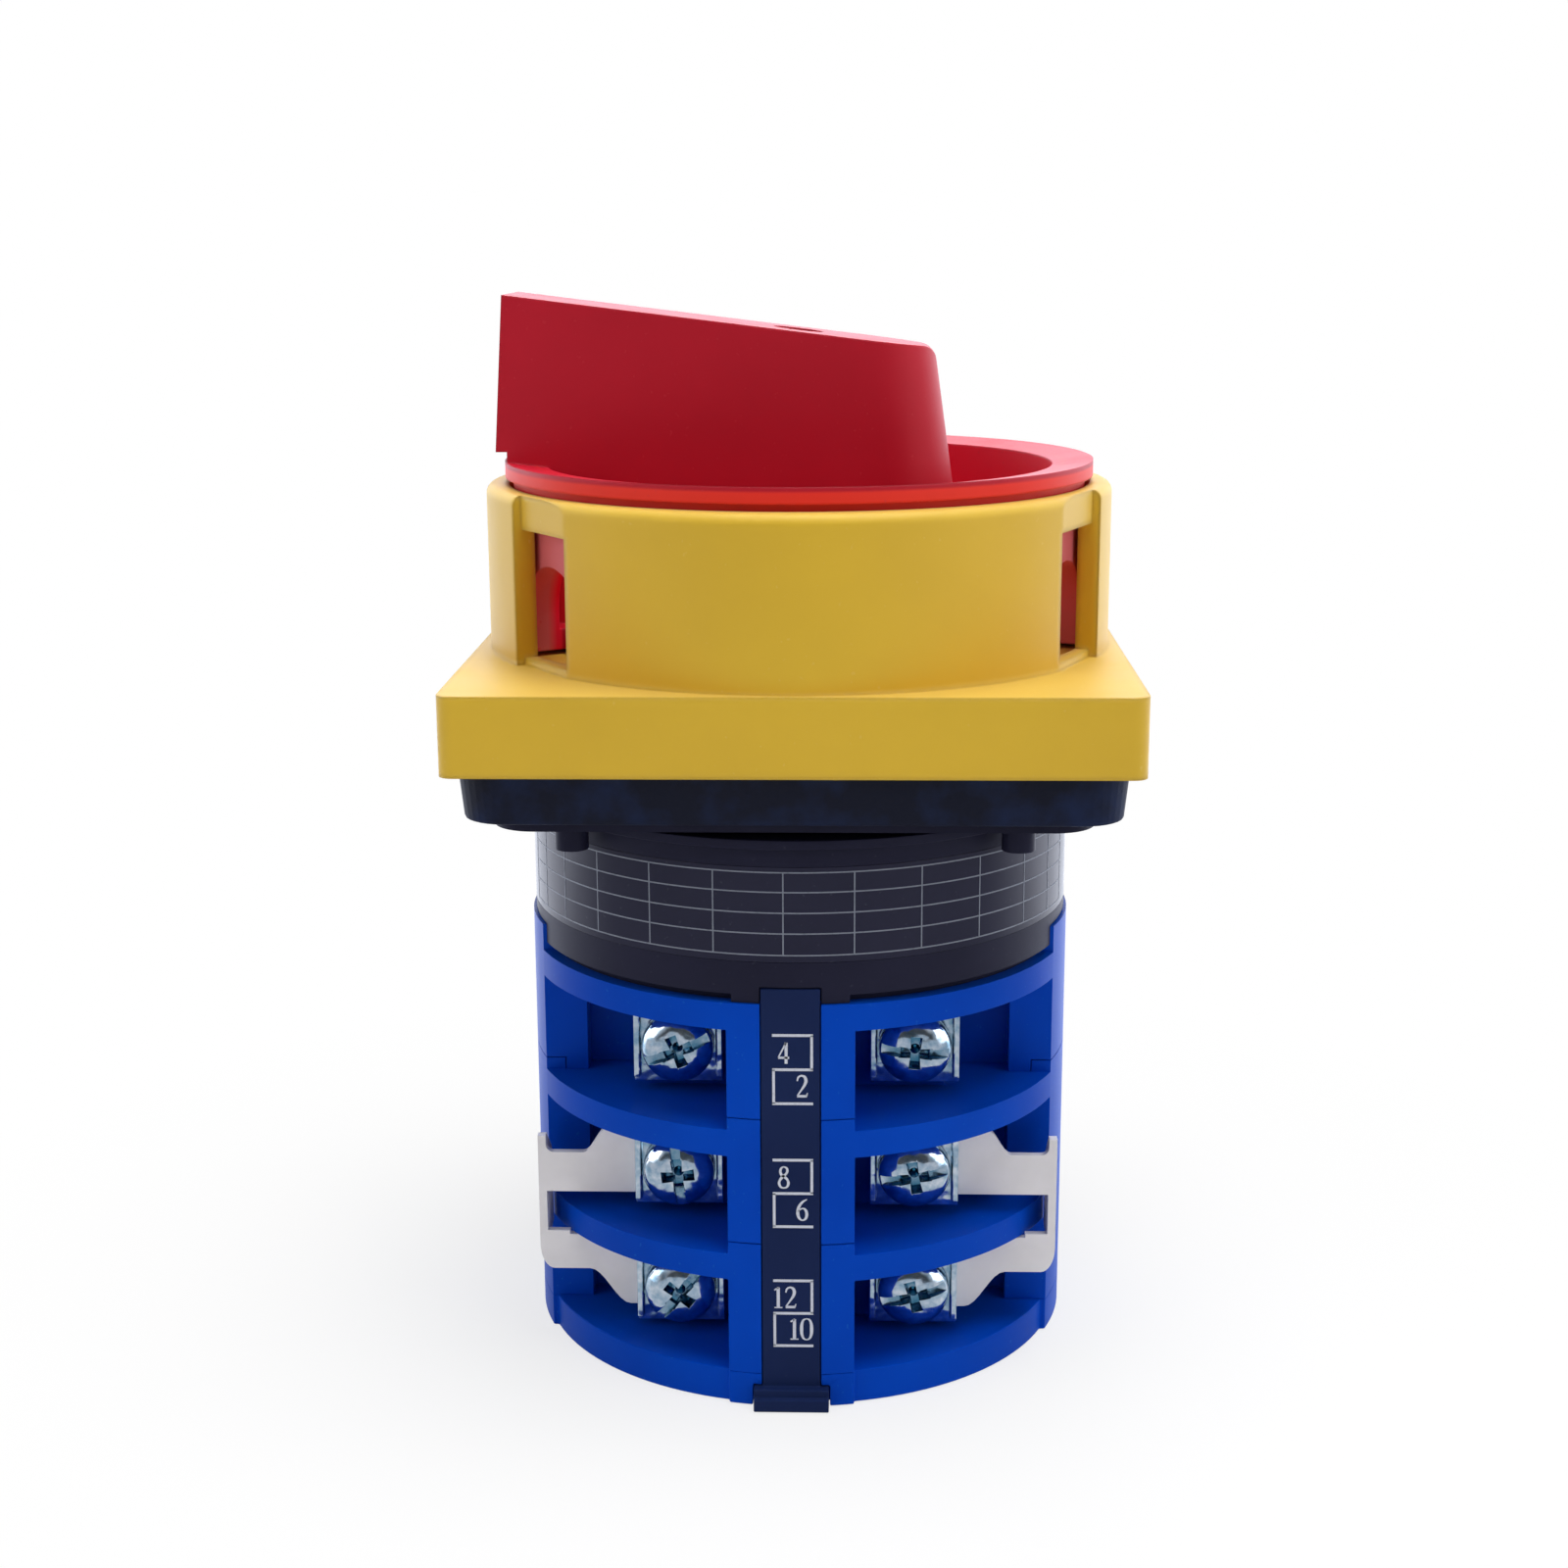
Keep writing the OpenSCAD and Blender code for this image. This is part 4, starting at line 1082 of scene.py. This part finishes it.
@dataclass
class Handle:
    """The red handle, its screw, and the shaft that it turns."""

    shaft_edge: float = 0.2
    clip_edge: float = 0.08
    screw: Screw = Screw(head_r=2.4, head_h=2.2, shank_r=1.5, shank_l=12.0, thread_l=9.0, pitch=0.5)

    def build(self) -> None:
        """Dresses the handle and makes its screw."""
        dress("handle", Finish.RED)
        dress("shaft", Finish.SHAFT, self.shaft_edge)
        dress("shaft_clip", Finish.SPRING, self.clip_edge)
        seat = Matrix.Translation((0, 0, seat_z("handle_screw", self.screw)))
        set_screws("handle_screw_detail", "handle_screw", self.screw.whole(), [seat], ROTOR)


@dataclass
class DetentHead:
    """The neck with its cover, sleeve, wheel, rollers, slides and springs."""

    edge: float = 0.15
    sleeve_edge: float = 0.05
    spring: Spring = Spring(mean_r=1.8, wire=0.7, turns=4.5)
    spring_pocket: float = 1.9
    screw: Screw = Screw(head_r=2.4, head_h=1.2, shank_r=1.25, shank_l=9.0, thread_l=8.0, pitch=1.0)
    screw_ring_r: float = 20.4
    screw_angles: tuple[float, ...] = (30, 150, 210, 330)
    recess_turn_radians: float = 0.7

    def build(self) -> None:
        """Dresses the head's nodes and makes its springs and screws."""
        dress("detent_housing", Finish.BLACK, self.edge)
        dress("detent_cover", Finish.BLACK, self.edge)
        dress("printed_sleeve", Finish.SLEEVE, self.sleeve_edge)
        dress("detent_wheel", Finish.NYLON, self.edge)
        dress("detent_slides", Finish.NYLON, self.edge)
        dress("detent_rollers", Finish.SHAFT, self.edge)
        self.wind_springs()
        set_screws("head_screws_detail", "head_screws", self.screw.whole(), self.screw_places())

    def wind_springs(self) -> None:
        """Winds the two springs that press the slides towards the wheel."""
        z = middle_z("detent_springs")
        outer = extent("detent_springs")[1].y
        inner = -extent("detent_slides")[0].y - self.spring_pocket
        parts = []
        for side in (1, -1):
            start, end = (Vector((0, side * y, z)) for y in (inner, outer))
            parts.append((self.spring.mesh("detent_spring", start, end), STILL))
        mesh = gather("detent_spring_coils", parts)
        hand_over("detent_spring_coils", mesh, Finish.SPRING, FIXED, ["detent_springs"])

    def screw_places(self) -> list[Matrix]:
        """Finds where the four screws that join the mounting plate and the head stand.

        Returns:
            Their places, each turned a little further than the last.
        """
        z = seat_z("head_screws", self.screw)
        places = []
        for i, angle in enumerate(self.screw_angles):
            turn = math.radians(angle)
            x, y = self.screw_ring_r * math.cos(turn), self.screw_ring_r * math.sin(turn)
            recess = Matrix.Rotation(self.recess_turn_radians * i, 4, "Z")
            places.append(Matrix.Translation((x, y, z)) @ recess)
        return places


@dataclass
class SleeveRules:
    """Thin rules printed on the sleeve, as an empty table."""

    radius: float = field(default_factory=lambda: extent("printed_sleeve")[1].x)
    proud: float = 0.02
    sunk: float = 0.05
    line: float = 0.13
    rows: tuple[float, ...] = (45.9, 48.0, 50.0, 52.0, 53.9)
    columns: tuple[float, ...] = (-74, -66, -56, -44, -30, -16, -2, 12, 26, 40, 54, 65, 74)
    step: float = 3.0

    def point(self, angle: float, z: float, out: float) -> Point:
        """Finds a point on the sleeve.

        Args:
            angle: counted from the front towards +X, in degrees.
            z: its height.
            out: how far it is outside the sleeve.

        Returns:
            The point.
        """
        turn = math.radians(angle)
        radius = self.radius + out
        return (radius * math.sin(turn), -radius * math.cos(turn), z)

    def patch(self, made: MeshMaker, first: float, last: float, low: float, high: float) -> None:
        """Adds one thin raised patch.

        Args:
            made: collects the patch.
            first: the angle where it starts.
            last: the angle where it ends.
            low: height of its bottom.
            high: height of its top.
        """
        corners = [(low, -self.sunk), (low, self.proud), (high, self.proud), (high, -self.sunk)]
        count = max(2, round(abs(last - first) / self.step) + 1)
        angles = [first + (last - first) * i / (count - 1) for i in range(count)]
        made.grid([[self.point(angle, z, out) for z, out in corners] for angle in angles])

    def build(self) -> None:
        """Prints the rules."""
        made = MeshMaker()
        half_turn = math.degrees(self.line / 2 / self.radius)
        for angle in self.columns:
            self.patch(made, angle - half_turn, angle + half_turn, self.rows[0], self.rows[-1])
        for z in self.rows:
            self.patch(made, self.columns[0], self.columns[-1], z - self.line / 2, z + self.line / 2)
        hand_over("sleeve_rules", made.mesh("sleeve_rules"), Finish.FAINT_INK, FIXED)


@dataclass
class StageStack:
    """The three stage housings and the base cover, with the screws that tie them."""

    edge: float = 0.16
    cam_edge: float = 0.15
    plunger_edge: float = 0.12
    brass_edge: float = 0.1
    tie_y: float = 19.5
    tie_head_r: float = 3.6
    tie_head_h: float = 1.7
    tie_r: float = 2.0
    tie_thread_l: float = 6.0

    def build(self) -> None:
        """Dresses the housings and what works inside them, and makes the tie screws."""
        for stage in STAGES:
            dress(f"stage_housing_{stage}", Finish.BLUE, self.edge)
            dress(f"cam_{stage}", Finish.NYLON, self.cam_edge)
            for side in SIDES:
                dress(f"plunger_{side}_{stage}", Finish.NYLON, self.plunger_edge)
                dress(f"bridge_{side}_{stage}", Finish.BRASS, self.brass_edge)
            dress(f"fixed_contacts_{stage}", Finish.BRASS, self.brass_edge)
        dress("base_cover", Finish.BLUE, self.edge)
        low, high = extent("tie_screws")
        seat = low.z + self.tie_head_h
        screw = Screw(self.tie_head_r, self.tie_head_h, self.tie_r, high.z - seat, self.tie_thread_l)
        head_down = Matrix.Rotation(math.pi, 4, "X")
        places = [Matrix.Translation((0, y, seat)) @ head_down for y in (self.tie_y, -self.tie_y)]
        set_screws("tie_screws_detail", "tie_screws", screw.whole(), places)


@dataclass
class ContactSprings:
    """The springs behind the moving bridges, each wound once at a single length between the wall and its
    bridge, though the real ones stretch as the contacts close.
    """

    spring: Spring = Spring(mean_r=1.7, wire=0.5, turns=5.5)
    bridge_back: float = 20.3
    wall: float = 25.65
    smooth: float = 60

    def build(self) -> None:
        """Winds one spring for each bridge."""
        for stage in STAGES:
            node = f"contact_springs_{stage}"
            z = middle_z(node)
            for side, sign in SIDES.items():
                name = f"spring_{side}_{stage}"
                start = Vector((sign * self.wall, 0, z))
                end = Vector((sign * self.bridge_back, 0, z))
                mesh = self.spring.mesh(name, start, end)
                shade_by_angle(mesh, self.smooth)
                piece = link_object(name, mesh)
                piece.data.materials.append(Finish.SPRING.material())
                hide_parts(node)
                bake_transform(piece)
                log.info("%s stretches between %s and its bridge", name, FIXED)


@dataclass
class Terminals:
    """The twelve terminal screws with their clamp washers, and the two links."""

    screw: Screw = Screw(
        head_r=3.6, head_h=2.6, shank_r=1.95, shank_l=4.2, thread_l=3.4, recess=Recess.CROSS_AND_SLOT
    )
    washer_edge: float = 0.12
    link_edge: float = 0.15
    turns: tuple[tuple[float, ...], ...] = ((22, -4, 70, 35), (96, 10, -24, 4), (52, 15, 80, -35))

    def build(self) -> None:
        """Makes the screws and dresses the washers and links."""
        screw = self.screw.whole()
        corners = [(sign, front) for front in (True, False) for sign in SIDES.values()]
        for stage, turns in zip(STAGES, self.turns):
            places = [self.place(stage, *corner, turn) for corner, turn in zip(corners, turns)]
            set_screws(f"terminal_screws_detail_{stage}", f"terminal_screws_{stage}", screw, places)
            dress(f"clamp_washers_{stage}", Finish.ZINC, self.washer_edge)
        for side in SIDES:
            dress(f"jumper_{side}", Finish.LINK, self.link_edge)

    def place(self, stage: int, sign: int, front: bool, turn: float) -> Matrix:
        """Finds where one terminal screw stands, from the box round the four of its stage.

        Args:
            stage: the stage, counted from the top.
            sign: -1 on the left, 1 on the right.
            front: whether it is at the front.
            turn: how far the screw is turned about its own axis, in degrees.

        Returns:
            The place of the screw, whose head faces outwards.
        """
        low, high = extent(f"terminal_screws_{stage}")
        x = sign * (high.x - self.screw.head_r)
        y = low.y + self.screw.head_h if front else high.y - self.screw.head_h
        facing = Matrix.Rotation(math.pi / 2 if front else -math.pi / 2, 4, "X")
        spot = Matrix.Translation((x, y, (low.z + high.z) / 2))
        return spot @ facing @ Matrix.Rotation(math.radians(turn), 4, "Z")


class Numeral(Enum):
    """Strokes of the printed numerals: across, up and stroke width, for a numeral of height 1."""

    ZERO = (
        ((0.24, 1.0, 0.05), (0.38, 0.93, 0.09), (0.45, 0.73, 0.13), (0.46, 0.5, 0.15), (0.45, 0.27, 0.13),
         (0.38, 0.07, 0.09), (0.24, 0.0, 0.05), (0.1, 0.07, 0.09), (0.03, 0.27, 0.13), (0.02, 0.5, 0.15),
         (0.03, 0.73, 0.13), (0.1, 0.93, 0.09), (0.24, 1.0, 0.05)),
    )
    ONE = (
        ((0.25, 0.97, 0.14), (0.25, 0.03, 0.14)),
        ((0.08, 0.85, 0.06), (0.27, 0.97, 0.09)),
        ((0.08, 0.02, 0.05), (0.43, 0.02, 0.05)),
    )
    TWO = (
        ((0.04, 0.74, 0.06), (0.08, 0.9, 0.08), (0.21, 0.98, 0.08), (0.36, 0.92, 0.12), (0.41, 0.75, 0.14),
         (0.36, 0.57, 0.12), (0.22, 0.34, 0.08), (0.04, 0.07, 0.06)),
        ((0.03, 0.05, 0.11), (0.45, 0.05, 0.11)),
        ((0.43, 0.05, 0.08), (0.48, 0.2, 0.04)),
    )
    FOUR = (
        ((0.36, 0.97, 0.07), (0.03, 0.31, 0.06)),
        ((0.02, 0.29, 0.1), (0.49, 0.29, 0.1)),
        ((0.36, 0.97, 0.13), (0.36, 0.02, 0.13)),
    )
    SIX = (
        ((0.45, 0.98, 0.04), (0.28, 0.88, 0.09), (0.12, 0.68, 0.12), (0.05, 0.42, 0.14), (0.07, 0.2, 0.13),
         (0.15, 0.06, 0.09), (0.26, 0.01, 0.06), (0.39, 0.09, 0.11), (0.44, 0.29, 0.13), (0.39, 0.48, 0.11),
         (0.28, 0.56, 0.06), (0.15, 0.51, 0.06), (0.07, 0.42, 0.05)),
    )
    EIGHT = (
        ((0.24, 0.99, 0.06), (0.37, 0.92, 0.09), (0.39, 0.76, 0.11), (0.3, 0.62, 0.1), (0.16, 0.5, 0.13),
         (0.06, 0.34, 0.1), (0.04, 0.2, 0.12), (0.11, 0.05, 0.09), (0.24, 0.01, 0.06), (0.38, 0.06, 0.09),
         (0.44, 0.22, 0.12), (0.4, 0.38, 0.1), (0.28, 0.51, 0.12), (0.14, 0.62, 0.11), (0.09, 0.77, 0.11),
         (0.13, 0.92, 0.09), (0.24, 0.99, 0.06)),
    )


NUMERALS = {
    "0": Numeral.ZERO,
    "1": Numeral.ONE,
    "2": Numeral.TWO,
    "4": Numeral.FOUR,
    "6": Numeral.SIX,
    "8": Numeral.EIGHT,
}


@dataclass
class LabelStrips:
    """The printed strips at the front and the rear.

    Each pair of numbers stands in a bracket, the upper number at the left and the lower one at the
    right. What a number has left of its place is a share of its width.
    """

    edge: float = 0.12
    face_y: float = 27.5
    proud: float = 0.03
    sunk: float = 0.05
    number_h: float = 2.2
    advance: float = 1.2
    upper_place: Pair = (-0.9, 0.55)
    upper_left: float = 1 / 2
    lower_place: Pair = (1.05, -2.75)
    lower_left: float = 2 / 3
    box_half_w: float = 1.8
    box_half_h: float = 3.4
    rule: float = 0.26
    centre_x: float = -0.1
    centres: tuple[float, ...] = (34.7, 22.2, 9.8)
    numbers: tuple[tuple[str, str], ...] = (("4", "2"), ("8", "6"), ("12", "10"))
    curve_steps: int = 4

    def build(self) -> None:
        """Dresses the strips and prints both."""
        for name, turn in (("front", 0.0), ("rear", math.pi)):
            dress(f"label_strip_{name}", Finish.STRIP, self.edge)
            made = MeshMaker()
            for z, (upper, lower) in zip(self.centres, self.numbers):
                self.bracket(made, z)
                self.number(made, upper, z, self.upper_place, self.upper_left)
                self.number(made, lower, z, self.lower_place, self.lower_left)
            mesh = made.mesh(f"terminal_numbers_{name}", Matrix.Rotation(turn, 4, "Z"))
            hand_over(f"terminal_numbers_{name}", mesh, Finish.INK, FIXED)

    def stroke(self, made: MeshMaker, path: Sequence[Point]) -> None:
        """Adds one printed stroke on the front face.

        Args:
            made: collects the stroke.
            path: across, up and stroke width of each point.
        """
        back = -self.face_y + self.sunk
        front = -self.face_y - self.proud
        rows = []
        for i, (x, z, width) in enumerate(path):
            before = path[max(i - 1, 0)]
            after = path[min(i + 1, len(path) - 1)]
            along = Vector((after[0] - before[0], after[1] - before[1])).normalized() * width / 2
            one, other = (x - along.y, z + along.x), (x + along.y, z - along.x)
            edges = ((one, back), (one, front), (other, front), (other, back))
            rows.append([(across, y, up) for (across, up), y in edges])
        made.grid(rows)

    def bracket(self, made: MeshMaker, z: float) -> None:
        """Prints the line between two numbers: over, down the right, across, down the left, under.

        Args:
            made: collects the strokes.
            z: height of its middle.
        """
        left = self.centre_x - self.box_half_w
        right = self.centre_x + self.box_half_w
        top = z + self.box_half_h
        bottom = z - self.box_half_h
        half = self.rule / 2
        for level in (top, z, bottom):
            self.stroke(made, [(left - half, level, self.rule), (right + half, level, self.rule)])
        self.stroke(made, [(right, top, self.rule), (right, z, self.rule)])
        self.stroke(made, [(left, z, self.rule), (left, bottom, self.rule)])

    def number(self, made: MeshMaker, text: str, z: float, place: Pair, left: float) -> None:
        """Prints a number.

        Args:
            made: collects the strokes.
            text: the numerals.
            z: height of the bracket's middle.
            place: across and up from there to the number's foot.
            left: share of the number's width that is left of its place.
        """
        foot = z + place[1]
        start = place[0] - left * len(text) * self.advance
        for i, letter in enumerate(text):
            x = start + i * self.advance
            for path in NUMERALS[letter].value:
                drawn = self.smooth(path) if len(path) > 2 else path
                sized = [[part * self.number_h for part in point] for point in drawn]
                self.stroke(made, [(x + across, foot + up, width) for across, up, width in sized])

    def smooth(self, path: Sequence[Point]) -> list[Point]:
        """Runs a smooth curve through the points of a stroke.

        Args:
            path: the points.

        Returns:
            Several times as many points.
        """
        last = len(path) - 1
        made = []
        for i in range(last):
            near = (path[max(i - 1, 0)], path[i], path[i + 1], path[min(i + 2, last)])
            for k in range(self.curve_steps):
                made.append(tuple(self.curve(*parts, k / self.curve_steps) for parts in zip(*near)))
        made.append(path[-1])
        return made

    def curve(self, a: float, b: float, c: float, d: float, t: float) -> float:
        """The value at share t of the way from b to c, on a smooth curve through a, b, c and d."""
        square, cube = 2 * a - 5 * b + 4 * c - d, 3 * b - a - 3 * c + d
        return 0.5 * (2 * b + (c - a) * t + square * t * t + cube * t**3)


@dataclass(frozen=True)
class Softbox:
    """A square lamp that hangs at one point and faces another, both in millimetres."""

    name: str
    place: Point
    target: Point
    watts: float
    side: float = 450

    def hang(self) -> None:
        """Hangs the lamp."""
        data = bpy.data.lights.new(self.name, "AREA")
        data.size = self.side * MM
        data.energy = self.watts
        lamp = bpy.data.objects.new(self.name, data)
        aim = (Vector(self.target) - Vector(self.place)).to_track_quat("-Z", "Y")
        lamp.matrix_world = Matrix.Translation(Vector(self.place) * MM) @ aim.to_matrix().to_4x4()
        bpy.context.scene.collection.objects.link(lamp)


@dataclass
class Studio:
    """The floor, the lights, the pale surroundings and the camera, whose angles are in radians."""

    eye: Point = (5.42, -238.58, 111.84)
    pitch: float = 0.2301
    yaw: float = 0.0295
    roll: float = -0.0038
    lens: float = 54.33
    sensor: float = 36.0
    clip_start: float = 0.01
    lamps: tuple[Softbox, ...] = (
        Softbox("top_softbox", (90, -60, 700), (0, 0, 60), 4.2),
        Softbox("left_softbox", (-600, -350, 350), (0, 0, 60), 0.85),
        Softbox("right_softbox", (600, -350, 300), (0, 0, 50), 0.9),
    )
    sheen: Colour = (238, 243, 255)
    floor_half: float = 4000
    floor_z: float = -0.1
    floor_colour: Colour = (244, 244, 244)
    floor_glow: Pair = (0.6, 2.5)
    floor_reach: Pair = (-30, 90)
    shadow_reach: float = 110.0
    shadow_core: float = 0.3
    shadow_share: float = 0.28
    ambient: float = 0.27
    sky_glow: Pair = (0.08, 3.6)
    sky_reach: Pair = (-0.9, 0.2)

    def build(self) -> None:
        """Sets up everything round the switch."""
        self.camera()
        self.floor()
        self.surroundings()
        for lamp in self.lamps:
            lamp.hang()
        bpy.context.scene.view_settings.view_transform = "Standard"

    def camera(self) -> None:
        """Stands the camera at the photograph's viewpoint."""
        right = Vector((1, 0, 0))
        forward = Vector((0, math.cos(self.pitch), -math.sin(self.pitch)))
        up = Vector((0, math.sin(self.pitch), math.cos(self.pitch)))
        axes = Matrix((right, up, -forward)).transposed()
        turned = Matrix.Rotation(self.yaw, 3, "Z") @ axes @ Matrix.Rotation(self.roll, 3, "Z")
        data = bpy.data.cameras.new("camera")
        data.sensor_fit = "HORIZONTAL"
        data.sensor_width = self.sensor
        data.lens = self.lens
        data.clip_start = self.clip_start
        camera = bpy.data.objects.new("camera", data)
        camera.matrix_world = Matrix.Translation(Vector(self.eye) * MM) @ turned.to_4x4()
        bpy.context.scene.collection.objects.link(camera)
        bpy.context.scene.camera = camera

    def backdrop(self, nodes: NodeMaker, kind: str, glow: Pair, reach: Pair) -> Signal:
        """Makes a shader that is plain white to the eye and grows brighter to the rear for reflections.

        Args:
            nodes: the tree that it is made in.
            kind: the type of its node.
            glow: its strength in front and at the rear.
            reach: the Y coordinates between which the strength changes.

        Returns:
            The shader.
        """
        eye = nodes.ray("Camera")
        front, rear = glow
        strength = front + (rear - front) * nodes.axis("Y").between(*reach)
        pale = nodes.tint(eye, self.sheen, WHITE)
        return nodes.add(kind, sockets={"Color": pale, "Strength": strength * (1 - eye) + eye})

    def floor(self) -> None:
        """Lays a plain pale floor that keeps a soft shadow."""
        ends = (-self.floor_half, self.floor_half)
        made = MeshMaker()
        made.grid([[(x, y, self.floor_z) for x in ends] for y in ends], around=False, capped=False)
        floor = link_object("floor", made.mesh("floor"))
        shader = Shader("floor_paper")
        paper = shader.add("ShaderNodeBsdfDiffuse", sockets={"Color": paint(self.floor_colour)})
        reach = tuple(y * MM for y in self.floor_reach)
        white = self.backdrop(shader, "ShaderNodeEmission", self.floor_glow, reach)
        distance = shader.add("ShaderNodeVectorMath", {"operation": "LENGTH"}, {0: shader.place}, "Value")
        fade = distance.between(self.shadow_core * self.shadow_reach * MM, self.shadow_reach * MM)
        seen = shader.seen() * (1 - self.shadow_share + self.shadow_share * fade)
        mixed = shader.add("ShaderNodeMixShader", sockets={0: seen, 1: paper, 2: white})
        shader.close("ShaderNodeOutputMaterial", mixed)
        floor.data.materials.append(shader.material)

    def surroundings(self) -> None:
        """Makes the surroundings white to look at and soft as light."""
        world = bpy.data.worlds.new("surroundings")
        bpy.context.scene.world = world
        world.use_nodes = True
        sky = NodeMaker(world.node_tree, "Generated")
        soft = sky.add("ShaderNodeBackground", sockets={"Color": paint(WHITE), "Strength": self.ambient})
        white = self.backdrop(sky, "ShaderNodeBackground", self.sky_glow, self.sky_reach)
        mixed = sky.add("ShaderNodeMixShader", sockets={0: sky.seen(), 1: soft, 2: white})
        sky.close("ShaderNodeOutputWorld", mixed)


def main() -> None:
    """Builds and dresses the switch, then sets up the studio."""
    logging.basicConfig(level=logging.INFO, format="%(name)s: %(message)s")
    FrontAssembly().dress()
    Handle().build()
    DetentHead().build()
    SleeveRules().build()
    StageStack().build()
    ContactSprings().build()
    Terminals().build()
    LabelStrips().build()
    Studio().build()


if __name__ == "__main__":
    main()
    bpy.context.view_layer.update()
